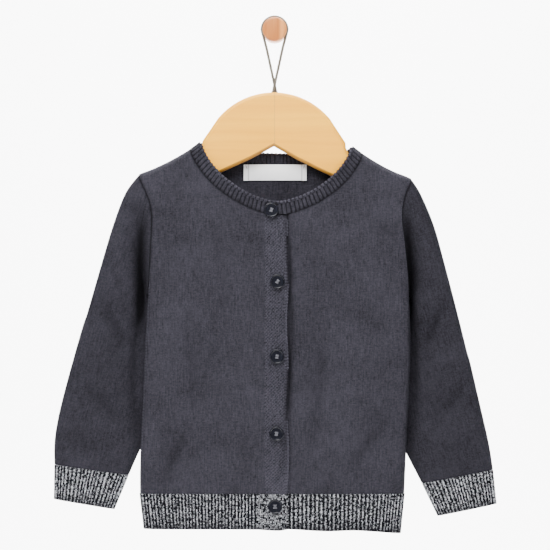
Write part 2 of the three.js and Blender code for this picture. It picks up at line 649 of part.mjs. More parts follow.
// Sleeves
const SLEEVE_RINGS = 23;
const RING_SPACING = 1.4;
const SLEEVE = { front: 9.5, back: 8, cuffFront: 6.6, cuffBack: 6, hiddenY: -15.6, round: 2.6, axisY: -24 };
const TUCK = { from: -3, to: 9 };
const VALLEY = { depth: 6.5, at: 3, width: 4.5, top: -148, fullTop: -172, fullLow: 8, low: 26 };
const BEHIND = { fade: 12, low: -420, full: -372 };
const CUFF_FLATTEN = 0.9;
const SEAM_FADE = 22;
const OUTER_Y = { armhole: MID_Y, cuff: -25 };

function pathReader(points) {
  const lengths = [0];
  for (let i = 1; i < points.length; i += 1) {
    const step = Math.hypot(points[i].x - points[i - 1].x, points[i].z - points[i - 1].z);
    lengths.push(lengths[i - 1] + step);
  }
  const total = lengths[lengths.length - 1];
  const table = points.map((point, i) => ({ ...point, at: lengths[i] / total }));
  const read = (share) => ({
    x: readTable(table, "at", "x", share),
    z: readTable(table, "at", "z", share),
    y: points[0].y === undefined ? 0 : readTable(table, "at", "y", share),
  });
  return { read, total };
}

function sleevePoint(side, inner, outer, along, v, isFront) {
  const x = mix(inner.x, outer.x, v);
  const z = mix(inner.z, outer.z, v);
  const round = (1 - Math.abs(2 * v - 1) ** SLEEVE.round) ** (1 / SLEEVE.round);
  const middle = mix(inner.y, outer.y, ramp(0, 1, v));
  const taper = ramp(0.2, 1, along);
  if (!isFront) {
    const y = middle + mix(SLEEVE.back, SLEEVE.cuffBack, taper) * round;
    return new THREE.Vector3(side.sign * x, y, z);
  }
  const under = underarmZ(side);
  const creased = foldDepth(SLEEVE_FOLDS, x, z) * round;
  const plain = middle - mix(SLEEVE.front, SLEEVE.cuffFront, taper) * round + creased;
  const off = x - foldX(side, z);
  const ends = ramp(VALLEY.top, VALLEY.fullTop, z);
  const valley = ends * ramp(under - VALLEY.low, under - VALLEY.fullLow, z);
  const dip = VALLEY.depth * valley * Math.exp(-(((off - VALLEY.at) / VALLEY.width) ** 2));
  const shown = ramp(TUCK.from, TUCK.to, off);
  const hides = ramp(under, under - BEHIND.fade, z) * ramp(BEHIND.low, BEHIND.full, z);
  const hidden = Math.max(plain, SLEEVE.hiddenY);
  const y = mix(plain + dip, mix(hidden, plain + dip, shown), hides);
  return new THREE.Vector3(side.sign * x, y, z);
}

function addSleeve(name, cuffName, side, frontPanel) {
  const outerPath = pathReader(side.outer);
  const innerPath = pathReader(side.inner);
  const sideColumn = frontPanel.slice(ROWS_BELOW).map((row) => row[0]);
  const backColumn = side.sign < 0 ? 0 : back[0].length - 1;
  const backSide = back.slice(BACK_ROWS_BELOW).map((row) => row[backColumn]);
  const underZ = underarmZ(side);
  const tip = shoulderTip(side);
  const halves = [
    { seam: sideColumn, isFront: true },
    { seam: backSide, isFront: false },
  ];
  const grid = [];
  for (let k = 0; k <= SLEEVE_RINGS; k += 1) {
    const along = (k / SLEEVE_RINGS) ** RING_SPACING;
    const outer = { ...outerPath.read(along), y: mix(OUTER_Y.armhole, OUTER_Y.cuff, along) };
    const inner = innerPath.read(along);
    const first = { ...outerPath.read(0), y: OUTER_Y.armhole };
    const start = innerPath.read(0);
    const fade = clamp01(1 - (along * outerPath.total) / SEAM_FADE) ** 2;
    const ring = halves.map(({ seam, isFront }) => seam.map((point, j) => {
      const seamV = (point.z - underZ) / (tip.z - underZ);
      const evenV = (1 - Math.cos((Math.PI * j) / (seam.length - 1))) / 2;
      const v = clamp01(mix(seamV, evenV, ramp(0, 8, k)));
      const miss = point.clone().sub(sleevePoint(side, start, first, 0, seamV, isFront));
      return sleevePoint(side, inner, outer, along, v, isFront).addScaledVector(miss, fade);
    }));
    grid.push([...ring[0], ...ring[1].slice(1, -1).reverse()]);
  }
  const axis = (p) => new THREE.Vector3(0, p.y - SLEEVE.axisY, 0);
  addCloth(name, grid, { thick: JERSEY, closed: true, outward: axis, colour: COLOURS.jersey });

  const last = grid[grid.length - 1];
  const seamLine = [...last, last[0]];
  const columns = ribColumns(seamLine, CUFF_RIB_PITCH).slice(0, -1);
  const top = columns.map((column) => pointOn(seamLine, column));
  const from = side.inner[side.inner.length - 1];
  const to = side.outer[side.outer.length - 1];
  const low = top.map((point) => {
    const v = (Math.abs(point.x) - from.x) / (to.x - from.x);
    const x = side.sign * mix(side.cuff.inner.x, side.cuff.outer.x, v);
    const z = mix(side.cuff.inner.z, side.cuff.outer.z, v);
    return new THREE.Vector3(x, OUTER_Y.cuff + (point.y - OUTER_Y.cuff) * CUFF_FLATTEN, z);
  });
  const rise = (j, i) => (i % 2 === 1 ? RIB_RISE : 0);
  const colour = COLOURS.rib;
  addCloth(cuffName, [top, low], { thick: RIB, closed: true, outward: axis, rise, colour });
}
addSleeve("right_sleeve", "right_cuff", SIDES.right, rightFront);
addSleeve("left_sleeve", "left_cuff", SIDES.left, leftFront);

// Label: a thin strip on the inside of the back, just below the neck seam
function labelGeometry() {
  const columns = 8;
  const grid = [LABEL.bottom, LABEL.top].map((z) => {
    const row = [];
    for (let i = 0; i <= columns; i += 1) {
      const x = mix(LABEL.left, LABEL.right, i / columns);
      const inside = backY(x, z) - JERSEY - LABEL.standoff;
      row.push(new THREE.Vector3(x, inside - LABEL.thick, z));
    }
    return row;
  });
  const normals = grid.map((row) => row.map(() => new THREE.Vector3(0, -1, 0)));
  return wallGeometry({ grid, normals, closed: false, thick: LABEL.thick });
}

// Closed solids joined and cut as booleans
function toSolid(geometry) {
  const plain = geometry.clone();
  for (const extra of ["normal", "uv"]) plain.deleteAttribute(extra);
  const merged = mergeVertices(plain, 1e-4);
  return new wasm.Manifold(new wasm.Mesh({
    numProp: 3,
    vertProperties: Float32Array.from(merged.attributes.position.array),
    triVerts: Uint32Array.from(merged.index.array),
  }));
}
function fromSolid(solid) {
  const mesh = solid.getMesh();
  const geometry = new THREE.BufferGeometry();
  geometry.setAttribute("position", new THREE.Float32BufferAttribute(mesh.vertProperties, 3));
  geometry.setIndex([...mesh.triVerts]);
  geometry.computeVertexNormals();
  return geometry;
}

// Button: a turned disc with a raised rim, a sunk middle and four sewing holes
function buttonGeometry() {
  const { radius, thick, rim, well, hole, holeSpread } = BUTTON;
  const edge = radius - rim;
  const profile = [
    [0, 0], [radius - 1, 0], [radius, 0.9], [radius, thick - 0.5], [radius - 0.5, thick],
    [edge + 0.1, thick], [edge - 0.8, thick - well], [0, thick - well],
  ].map(([x, y]) => new THREE.Vector2(x, y));
  let solid = toSolid(new THREE.LatheGeometry(profile, 16));
  for (const [dx, dz] of [[1, 1], [1, -1], [-1, 1], [-1, -1]]) {
    const drill = new THREE.CylinderGeometry(hole, hole, thick * 3, 6);
    drill.translate(dx * holeSpread, 0, dz * holeSpread);
    solid = solid.subtract(toSolid(drill));
  }
  return fromSolid(solid);
}

// Hanger: an extruded outline with chamfered edges and a slot for the string
function hangerOutline() {
  const { top, domeRadius } = HANGER;
  const centreZ = top - domeRadius;
  const points = [];
  for (let degrees = 0; degrees <= HANGER.domeEndDeg; degrees += 5) {
    const angle = THREE.MathUtils.degToRad(degrees);
    points.push([domeRadius * Math.sin(angle), centreZ + domeRadius * Math.cos(angle)]);
  }
  points.push(...HANGER_WAIST.map(({ x, z }) => [x, z]));
  for (let degrees = 60; degrees >= -60; degrees -= 20) {
    const angle = THREE.MathUtils.degToRad(degrees);
    const { x, z, radius, high } = HANGER_TIP;
    points.push([x + radius * Math.cos(angle), z + high * Math.sin(angle)]);
  }
  points.push(...HANGER_UNDER.map(({ x, z }) => [x, z]));
  const other = points.slice(1, -1).reverse().map(([x, z]) => [-x, z]);
  return [...points, ...other];
}
function hangerGeometry() {
  const shape = new THREE.Shape(hangerOutline().map(([x, z]) => new THREE.Vector2(x, z)));
  const { thick, chamfer } = HANGER;
  const slab = new THREE.ExtrudeGeometry(shape, {
    depth: thick - 2 * chamfer, bevelEnabled: true, bevelThickness: chamfer,
    bevelSize: chamfer, bevelOffset: -chamfer, bevelSegments: 1,
  });
  slab.translate(0, 0, -(thick / 2 - chamfer));
  slab.rotateX(Math.PI / 2);
  slab.translate(0, 0, -HANGER.top);
  slab.rotateY(THREE.MathUtils.degToRad(-HANGER.tiltDeg));
  slab.translate(0, 0, HANGER.top);
  const slotWidth = 2 * (STRING.endHalf + STRING.radius) + HANGER.slotRoom;
  const slot = new THREE.BoxGeometry(slotWidth, HANGER.slotThick, HANGER.slotDeep);
  slot.translate(0, 0, STRING.endZ - HANGER.slotBelow + HANGER.slotDeep / 2);
  return fromSolid(toSolid(slab).subtract(toSolid(slot)));
}

// Peg: turned wood with a groove for the string
function pegGeometry() {
  const { length, lip, groove, grooveHalf } = PEG;
  const at = -MID_Y;
  const profile = [
    [0, 0], [lip - 1.5, 0], [lip - 0.2, 3], [lip, at - grooveHalf - 1], [groove, at - grooveHalf],
    [groove, at + grooveHalf], [lip, at + grooveHalf + 0.8], [lip - 0.3, length - 1.2],
    [lip - 1.6, length], [0, length],
  ].map(([x, y]) => new THREE.Vector2(x, y));
  return new THREE.LatheGeometry(profile, 28).rotateX(Math.PI);
}

// String: up from the hanger's slot, across itself, over the peg and back down
function stringGeometry() {
  const { radius, loopRadius, crossZ, endHalf, endZ } = STRING;
  const tangent = Math.asin(loopRadius / -crossZ);
  const points = [
    new THREE.Vector3(-endHalf, -1, endZ),
    new THREE.Vector3(-endHalf, -1, endZ + 5),
    new THREE.Vector3(-endHalf * 0.55, -1.05, crossZ - 5.5),
    new THREE.Vector3(0, -1.1, crossZ),
  ];
  for (let step = 1; step <= 2; step += 1) {
    const share = step / 3;
    const x = share * loopRadius * Math.cos(tangent);
    points.push(new THREE.Vector3(x, -1.1 * (1 - share), crossZ * (1 - share)));
  }
  const turns = 10;
  for (let step = 0; step <= turns; step += 1) {
    const angle = mix(-tangent, Math.PI + tangent, step / turns);
    points.push(new THREE.Vector3(loopRadius * Math.cos(angle), 0, loopRadius * Math.sin(angle)));
  }
  const mirrored = points.slice(0, 6).reverse();
  points.push(...mirrored.map((point) => new THREE.Vector3(-point.x, -point.y, point.z)));
  const corners = Array.from({ length: 8 }, (_, side) => (side * Math.PI) / 4);
  const section = new THREE.Shape(corners.map((angle) => (
    new THREE.Vector2(radius * Math.cos(angle), radius * Math.sin(angle)))));
  const path = new THREE.CatmullRomCurve3(points);
  return new THREE.ExtrudeGeometry(section, {
    steps: 60, bevelEnabled: false, extrudePath: path,
  });
}

const cardigan = new THREE.Group();
function addMesh(name, geometry, colour, roughness) {
  const material = new THREE.MeshStandardMaterial({ color: colour, roughness, metalness: 0 });
  const mesh = new THREE.Mesh(geometry, material);
  mesh.name = name;
  cardigan.add(mesh);
  return mesh;
}

for (const piece of cloth) addMesh(piece.name, wallGeometry(piece), piece.colour, 0.9);
addMesh("label", labelGeometry(), COLOURS.label, 0.5);
addMesh("hanger", hangerGeometry(), COLOURS.wood, 0.45).position.y = MID_Y;
addMesh("wall_peg", pegGeometry(), COLOURS.peg, 0.5);
addMesh("hanger_string", stringGeometry(), COLOURS.cord, 0.9).position.y = MID_Y;

// Buttons lie on the upper front, turned to its slope
BUTTONS.forEach((place, number) => {
  const mesh = addMesh(`button_${number + 1}`, buttonGeometry(), COLOURS.button, 0.25);
  const high = frontY(place.x, place.z + BUTTON.radius);
  const low = frontY(place.x, place.z - BUTTON.radius);
  const slope = Math.atan2(high - low, 2 * BUTTON.radius);
  const lift = BUTTON.standoff + (number === 0 ? RIB_RISE : 0);
  mesh.rotation.set(Math.PI - slope, THREE.MathUtils.degToRad(place.turnDeg), 0);
  mesh.position.set(place.x, Math.min(frontY(place.x, place.z), (high + low) / 2) - lift, place.z);
});

export default cardigan;
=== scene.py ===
"""Baby cardigan on a small wooden hanger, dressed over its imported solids."""
import math

import bmesh
import bpy
import numpy as np
from mathutils import Matrix, Vector
from mathutils.bvhtree import BVHTree
from mathutils.kdtree import KDTree


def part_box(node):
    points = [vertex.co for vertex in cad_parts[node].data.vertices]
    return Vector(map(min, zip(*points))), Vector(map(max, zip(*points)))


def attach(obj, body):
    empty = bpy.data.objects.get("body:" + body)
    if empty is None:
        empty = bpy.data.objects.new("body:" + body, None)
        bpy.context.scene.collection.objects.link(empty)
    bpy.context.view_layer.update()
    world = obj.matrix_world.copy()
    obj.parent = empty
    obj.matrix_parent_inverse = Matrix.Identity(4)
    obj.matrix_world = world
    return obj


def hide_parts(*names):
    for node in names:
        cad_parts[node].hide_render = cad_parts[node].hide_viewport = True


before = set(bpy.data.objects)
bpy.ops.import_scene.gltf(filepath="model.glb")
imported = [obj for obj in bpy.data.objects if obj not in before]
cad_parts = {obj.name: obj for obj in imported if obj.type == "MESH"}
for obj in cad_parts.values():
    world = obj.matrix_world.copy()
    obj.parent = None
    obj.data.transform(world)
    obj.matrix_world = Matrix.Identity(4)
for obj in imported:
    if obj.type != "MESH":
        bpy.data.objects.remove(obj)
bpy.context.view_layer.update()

bl_info = {
    "name": "Baby Cardigan",
    "version": (1, 0, 0),
    "blender": (4, 5, 0),
    "location": "3D View > Sidebar > Cardigan",
    "description": "Makes a buttoned baby cardigan on its hanger",
    "category": "Object",
}

MM = 0.001
BODY = "root"

# Places that the solids have too, in millimetres
MID_Y = -27.0
PLACKET = {"left": -8.7, "right": 11.6, "loops": 2.6}
PEG = {"centre_y": -27.0, "loop": 11.05}
STRING = {"cross_z": -49.1, "end_half": 2.0, "end_z": -61.5, "cross_y": 1.1, "end_y": 1.0}
# The string's plies: their number, radius and distance from its middle
PLIES = 3
PLY = 0.70
PLY_SPREAD = 0.66
# How far in the hanger's and the peg's edges are rounded
HANGER_ROUND = 0.7
PEG_ROUND = 0.5
# At a rib the wall is thicker than this, and an edge longer than the next runs along the wall
RIB_MARK = 2.0
RIB_EDGE = 3.0
# How pale plain wall is painted, as a rib mark between 0 beside a rib and 1 on it: the mark sets the
# painted light on the marl's ribs and the painted shade between the jersey's ribs
PLAIN_MARK = 0.7
# A panel's edges and a rib's stay sharp where they turn by more degrees than these
PANEL_CREASE = 60.0
RIB_CREASE = 75.0
# A rim is a line of edges that turn by at least this many degrees
RIM_TURN = 50.0
# The dark edge that the marl ribs are started from: its height, and how wide a column looks for it
START_EDGE = 1.8
START_COLUMN = 4.0
BUTTON = {"radius": 6.35, "thick": 2.8, "spread": 1.25, "hole": 0.72, "rim": 1.15, "slope": 0.5,
          "sunk": 0.95, "round": 0.45, "hole_round": 0.06, "floor_room": 0.12, "sides": 48,
          "hole_sides": 16}
# A button's flat faces look along Y by more than this
BUTTON_FACE = 0.8
# Sewing thread: strands of each bar, how far they fan out and how high they rise
THREAD = {"radius": 0.28, "strands": (-0.62, -0.05, 0.5), "rows": 0.82, "fan": 0.04, "rise": 0.5,
          "steps": 8}

# Linking yarn in the seams: its radius, how far it is sunk and how near two rims count as joined
SEAM_YARN = 0.4
SEAM_SINK = 0.9
SEAM_REACH = 1.3
# How far from a seam the cloth gets painted shade, and how far it is drawn in there
SEAM_WIDTH = 1.1
SEAM_DRAW = 0.5
# Chain stitch down the placket's edge: four steps to a stitch
CHAIN_STEP = 0.68
CHAIN_YARN = 0.7
CHAIN_SWELL = 0.5
CHAIN_LIFT = 0.75
CHAIN_OUT = 0.1
# The band's edge is the front's rim beyond this x and below this z
CHAIN_FROM = {"x": 5, "z": -168}
# The neck rib's rolled edge: radius, spacing along it (four to a rib), how far it bumps, how far
# it lies out from the wall and past its rim, and the height it starts below, so that it doesn't
# stand up from the shoulder
NECK_ROLL = 1.25
NECK_ROLL_STEP = 0.95
NECK_ROLL_SWELL = 0.3
NECK_ROLL_OUT = 0.9
NECK_ROLL_REACH = 0.7
NECK_ROLL_TOP = -101.5
NECK_ROLL_SIDES = 10
# A rim farther than this from the panels is free
NECK_FREE = 5.0
# The neck rib's stitches are this much wider than the panels'
NECK_STITCH = 1.25
# How often an evened run is rounded off
ROUNDINGS = 14
# Runs of fewer points than this aren't part of the neck's edge
SHORT_RUN = 30
# A rim's faces look outwards from the garment's middle by more than this, in metres times the normal
RIM_OUT = 0.0012
SEAMS = [
    ("sleeve_right", "front_right"), ("sleeve_right", "back"), ("sleeve_left", "front_left"),
    ("sleeve_left", "back"), ("front_right", "rib_neck"), ("front_left", "rib_neck"),
    ("back", "rib_neck"), ("front_right", "back"), ("front_left", "back"),
]

# The label: how far each end is folded back, its middle, and the fold lines' distance from that
LABEL = {"fold": 4.4, "middle": 0.45, "fold_at": 23.5, "round": 0.22, "back": 0.8, "drop": 0.25}
# Stitches at each end of the label: the first one's place, the step to the next and their size
LABEL_STITCH = {"in": 2.0, "in_step": 0.5, "down": 0.5, "down_step": 1.1, "back": 0.7, "bow": 0.16,
                "length": 1.4, "radius": 0.16}

# How far each button is turned on its thread, in degrees
BUTTON_TURNS = [20, 32, 12, 6, 2]

# Painted shade in the creases: a trough this deep gets the darkest of it
CREASE_SHADE_DEPTH = 4.8

# A face that looks forward less than this is an edge, and its stitches lie this far off, in metres
EDGE_ON = 0.5
EDGE_SHIFT = 0.3

# How much a crease bows in its length, and where along it each end fades in
CREASE = {"bow": 0.12, "start": (-0.15, 0.3), "end": (1.15, 0.7)}
# Creases on the fronts: a soft line in x and z, how wide it is and how deep it goes in
FRONT_CREASES = [
    {"x": -58, "z": -150, "to_x": -40, "to_z": -238, "width": 7, "deep": 1.8},
    {"x": -74, "z": -262, "to_x": -70, "to_z": -338, "width": 5, "deep": 1.8},
    {"x": -76, "z": -352, "to_x": -101, "to_z": -404, "width": 5, "deep": 2.4},
    {"x": -88, "z": -340, "to_x": -108, "to_z": -372, "width": 5, "deep": -1.2},
    {"x": -24, "z": -164, "to_x": 0, "to_z": -172, "width": 3.5, "deep": 1.4},
    {"x": -28, "z": -300, "to_x": -22, "to_z": -396, "width": 6, "deep": 1.2},
    {"x": 47, "z": -256, "to_x": 33, "to_z": -378, "width": 6, "deep": 2},
    {"x": 60, "z": -394, "to_x": 106, "to_z": -332, "width": 5, "deep": 2.2},
    {"x": 72, "z": -300, "to_x": 64, "to_z": -372, "width": 6, "deep": -1.2},
    {"x": 92, "z": -172, "to_x": 108, "to_z": -186, "width": 5, "deep": 2},
    {"x": 20, "z": -176, "to_x": 52, "to_z": -206, "width": 6, "deep": 1.2},
    {"x": -100, "z": -176, "to_x": -84, "to_z": -214, "width": 6, "deep": 1.4},
    # A trough beside the band's edge, mainly for the painted shadow that the band casts on the front
    {"x": 14.4, "z": -120, "to_x": 13.8, "to_z": -404, "width": 2.8, "deep": 3.8},
]
BACK_CREASES = [
    {"x": -52, "z": -160, "to_x": -36, "to_z": -280, "width": 7, "deep": 2},
    {"x": 56, "z": -170, "to_x": 46, "to_z": -300, "width": 7, "deep": 2.2},
    {"x": 8, "z": -220, "to_x": -6, "to_z": -384, "width": 6, "deep": 1.8},
    {"x": -94, "z": -262, "to_x": -76, "to_z": -390, "width": 5, "deep": 2},
    {"x": 96, "z": -270, "to_x": 80, "to_z": -392, "width": 5, "deep": 1.8},
    {"x": 30, "z": -320, "to_x": 58, "to_z": -398, "width": 5, "deep": 1.6},
    {"x": -84, "z": -150, "to_x": -60, "to_z": -178, "width": 5, "deep": 1.4},
]
# Creases on the sleeves, with x counted outwards from the middle of the body
SLEEVE_CREASES = [
    {"x": 152, "z": -236, "to_x": 130, "to_z": -286, "width": 4.5, "deep": 2.4},
    {"x": 160, "z": -252, "to_x": 140, "to_z": -300, "width": 4, "deep": -1.4},
    {"x": 170, "z": -312, "to_x": 136, "to_z": -346, "width": 4.5, "deep": 2},
    {"x": 186, "z": -356, "to_x": 150, "to_z": -372, "width": 4, "deep": 1.6},
    {"x": 128, "z": -146, "to_x": 134, "to_z": -196, "width": 5, "deep": -1.8},
    {"x": 118, "z": -152, "to_x": 119, "to_z": -268, "width": 6.2, "deep": 4.5},
    {"x": 121, "z": -230, "to_x": 126, "to_z": -350, "width": 4, "deep": 2.6},
]

# How far the knit of the sleeves and the cuffs is turned from upright
SLEEVE_TURN = math.radians(15)
CUFF_TURN = math.radians(8)
# Where creases fade out, in heights and, at the sides, in distance from the middle
FADE = {"cuff": (-386.0, -374.0), "hem": (-408.0, -398.0), "shoulder": (-128.0, -142.0),
        "side": (118.0, 108.0)}
# The middle surface of a sleeve, from its inner edge to its outer one, and how much the rear creases
SLEEVE_MIDDLE = {"inner": -13.0, "run": 13.0, "edge": 0.12, "rear": -0.7}

# Sleeve lines used to tell its front from its back: outer and inner edge at each height
SLEEVE_EDGES = [
    {"z": -420, "outer": 195, "inner": 141}, {"z": -385, "outer": 193, "inner": 126},
    {"z": -350, "outer": 190, "inner": 108}, {"z": -300, "outer": 178, "inner": 101},
    {"z": -250, "outer": 164, "inner": 108}, {"z": -200, "outer": 150, "inner": 109},
    {"z": -165, "outer": 139, "inner": 108}, {"z": -128, "outer": 120, "inner": 112},
]

# Number of each socket of a Mix node that blends colours
MIX = {"factor": 0, "first": 6, "second": 7, "result": 2}
DULL = {"Specular IOR Level": 0.05}
# Plain knit, in shares of a stitch
STITCH = {"lean": 0.55, "leg_at": 0.25, "leg_round": 0.6, "coil": 0.55, "coil_round": 2.2}
# Seed stitch of the band: pitches in metres, then heights
SEED = {"rise": 0.0029, "fall": 0.0033, "loop": 0.0026, "stray_fine": 500.0, "stray": 1.5,
        "cross": 0.7, "height": 0.9, "loop_height": 1.3, "band_height": 1.5}
# Jersey: how fine each noise is, its share of the yarn's tone, and how dark the painted shade in
# creases, along seams and between ribs is
JERSEY = {
    "cloud": 26.0, "fuzz": 2600.0, "slub": (260.0, 900.0), "wale": (760.0, 90.0),
    "stitch_share": 0.55, "speck_share": 0.30, "slub_share": 0.45, "wale_share": 0.6,
    "cloud_share": 0.5, "offset": 0.68, "dark": 0.12, "pale": 2.2, "fuzz_above": 0.62,
    "fuzz_share": 0.18, "crease_shade_most": 0.85, "crease_shade_dark": 0.05, "seam_shade_share": 0.7,
    "seam_shade_dark": 0.14, "between_ribs": 0.55, "between_ribs_shade_share": 0.8, "between_ribs_shade_dark": 0.16,
    "bump": 0.00042,
}
# Marl: its stitch in metres, how fine its drift is, and what makes a fleck pale, including the painted
# light on the raised ribs; the gaps between stitches get painted shade
MARL = {
    "width": 0.0013, "height": 0.00105, "lean": 0.7, "drift": (1100.0, 760.0, 600.0),
    "speck_share": 0.85, "drift_share": 0.6, "rib_light_share": 0.62, "offset": 0.46, "pale_from": 0.60,
    "pale_to": 1.22, "gap": 0.12, "gap_shade_share": 0.55, "start_share": 0.75, "bump": 0.00055,
}
# The cuffs' marl is painted paler than the hem's: a lit copy of the same yarn
CUFF_PALER = 0.045
HANGER_WOOD = {"grain": "X", "varnish": 0.04, "even": 0.5, "dark": (0.80, 0.70, 0.58),
               "joint": (0.0007, 0.0001)}
PEG_WOOD = {"grain": "Z", "varnish": 0.15, "even": 0.0, "dark": (0.60, 0.44, 0.32), "joint": None}
# Both woods: how fine each pattern is along the grain and on its two sides, then its shares
WOOD = {
    "drift": (5.0, 30.0, 34.0), "rings": (3.0, 90.0, 130.0), "pores": (60.0, 2200.0, 2200.0),
    "ring_wave": 3.0, "ring_ramp": (0.30, 0.72), "pore_ramp": (0.60, 0.74), "pore_share": 0.22,
    # Painted shade on faces that look down: the under colour, its ramp and its share
    "pale": (1.08, 1.10, 1.16), "under": (0.16, 0.07, 0.025), "underside_shade_ramp": (0.35, 0.75),
    "underside_shade_share": 0.8, "joint": (0.36, 0.19, 0.08), "joint_share": 0.35, "bump": 0.00012,
}
STRING_YARN = {"fibre": 3800.0, "drift": 160.0, "dark": 0.55, "pale": 1.5, "pale_share": 0.4,
               "bump": 0.0001}
PLASTIC = {"haze": 420.0, "scuff": 2400.0, "haze_colour": (0.008, 0.010, 0.017), "haze_share": 0.5,
           "coat": 0.42, "rough": 0.10, "haze_rough": 0.10, "scuff_rough": 0.05, "sunk_rough": 0.5,
           "bump": 0.00004}
YARN_FIBRE = {"fine": 5200.0, "dark": 0.6, "bump": 0.00006}
SEWING_THREAD = (0.15, 0.15, 0.17)
LABEL_THREAD = (0.16, 0.16, 0.17)
# Satin: one row and one float in metres, how far each row steps on, and its whites; its greys are
# painted shade in the weave and the painted shadow beside each folded end
SATIN = {"row": 0.00022, "float": 0.0009, "step": 0.37, "white": (1.0, 1.0, 1.0),
         "shimmer": (0.90, 0.90, 0.92), "cloud": (0.76, 0.76, 0.80), "fold": (0.34, 0.34, 0.36),
         "float_share": 0.5, "row_share": 0.4, "cloud_fine": 60.0, "cloud_ramp": (0.4, 0.7),
         "cloud_share": 0.35, "fold_shadow_ramp": (0.0008, 0.0002), "fold_shadow_share": 0.6, "bump": 0.00009}
# Shares of the jersey's colour: lit and shaded copies of the one yarn, painted paler where a part
# catches light (neck edge, chain loops) and darker as painted shade (sleeves, neck rib, seam yarn)
YARN_LIT_AND_SHADED = {"right_sleeve": 0.86, "left_sleeve": 0.74, "neck": 0.95, "neck_edge": 1.5,
              "seam": 0.2, "chain": 2.2}


class CardiganSizes(bpy.types.PropertyGroup):
    """Sizes that a user would change"""

    stitch_width: bpy.props.FloatProperty(
        name="Stitch width", description="One wale of the jersey", default=0.00135, unit="LENGTH")
    stitch_height: bpy.props.FloatProperty(
        name="Stitch height", description="One course of the jersey", default=0.00105, unit="LENGTH")
    crease: bpy.props.FloatProperty(
        name="Crease", description="How deep the creases go", default=1.0, min=0.0, max=2.0,
        subtype="FACTOR")
    string_twist: bpy.props.FloatProperty(
        name="String twist", description="One full turn of the string's plies", default=0.0062,
        unit="LENGTH")


class CardiganColours(bpy.types.PropertyGroup):
    """Colours that a user would change"""

    jersey: bpy.props.FloatVectorProperty(
        name="Jersey", description="Main knit", subtype="COLOR", size=3, min=0, max=1,
        default=(0.0215, 0.0205, 0.0265))
    marl_dark: bpy.props.FloatVectorProperty(
        name="Marl dark", description="Dark yarn of the marl ribs", subtype="COLOR", size=3,
        min=0, max=1, default=(0.004, 0.004, 0.006))
    marl_pale: bpy.props.FloatVectorProperty(
        name="Marl pale", description="Pale yarn of the marl ribs", subtype="COLOR", size=3,
        min=0, max=1, default=(0.56, 0.57, 0.61))
    wood: bpy.props.FloatVectorProperty(
        name="Hanger wood", description="Pale varnished wood", subtype="COLOR", size=3,
        min=0, max=1, default=(1.0, 0.46, 0.022))
    peg: bpy.props.FloatVectorProperty(
        name="Peg wood", description="Turned wood of the peg", subtype="COLOR", size=3,
        min=0, max=1, default=(0.66, 0.265, 0.068))
    string: bpy.props.FloatVectorProperty(
        name="String", description="Cotton string", subtype="COLOR", size=3,
        min=0, max=1, default=(0.155, 0.134, 0.104))
    button: bpy.props.FloatVectorProperty(
        name="Buttons", description="Polished plastic", subtype="COLOR", size=3,
        min=0, max=1, default=(0.004, 0.004, 0.007))


def add_node(tree, kind, settings=None, sockets=None, output=0):
    """Adds a node with its settings and sockets, and gives one output or, for None, all of them"""
    node = tree.nodes.new(kind)
    for key, value in (settings or {}).items():
        setattr(node, key, value)
    for key, value in (sockets or {}).items():
        if isinstance(value, Knob):
            tree.links.new(value.socket, node.inputs[key])
        else:
            node.inputs[key].default_value = value
    if output is None:
        return [Knob(tree, socket) for socket in node.outputs]
    return Knob(tree, node.outputs[output])


class Knob:
    """A shader socket that works in Python expressions"""

    def __init__(self, tree, socket):
        self.tree = tree
        self.socket = socket

    def _math(self, operation, *values):
        return add_node(self.tree, "ShaderNodeMath", {"operation": operation}, dict(enumerate(values)))

    def __add__(self, other):
        return self._math("ADD", self, other)

    def __sub__(self, other):
        return self._math("SUBTRACT", self, other)

    def __mul__(self, other):
        return self._math("MULTIPLY", self, other)

    def __truediv__(self, other):
        return self._math("DIVIDE", self, other)

    def __radd__(self, other):
        return self._math("ADD", other, self)

    def __rsub__(self, other):
        return self._math("SUBTRACT", other, self)

    def __rmul__(self, other):
        return self._math("MULTIPLY", other, self)

    def fraction(self):
        return self._math("FRACT", self)

    def floor(self):
        return self._math("FLOOR", self)

    def size(self):
        return self._math("ABSOLUTE", self)

    def power(self, other):
        return self._math("POWER", self, other)

    def above(self, other):
        return self._math("GREATER_THAN", self, other)

    def below(self, other):
        return self._math("LESS_THAN", self, other)

    def least(self, other):
        return self._math("MINIMUM", self, other)

    def most(self, other):
        return self._math("MAXIMUM", self, other)

    def off_middle(self):
        """0 in the middle of each whole step and 1 at its two ends"""
        return (self.fraction() - 0.5).size() * 2.0


def opaque(colour):
    """A linked colour as it is, or a plain one with its fourth value"""
    return colour if isinstance(colour, Knob) else (*colour[:3], 1.0)


def shaded(colour, *shares):
    """A colour times one share, or times one share for each channel, and never above white"""
    shares = shares if len(shares) == 3 else shares * 3
    return tuple(min(1.0, part * share) for part, share in zip(colour, shares))


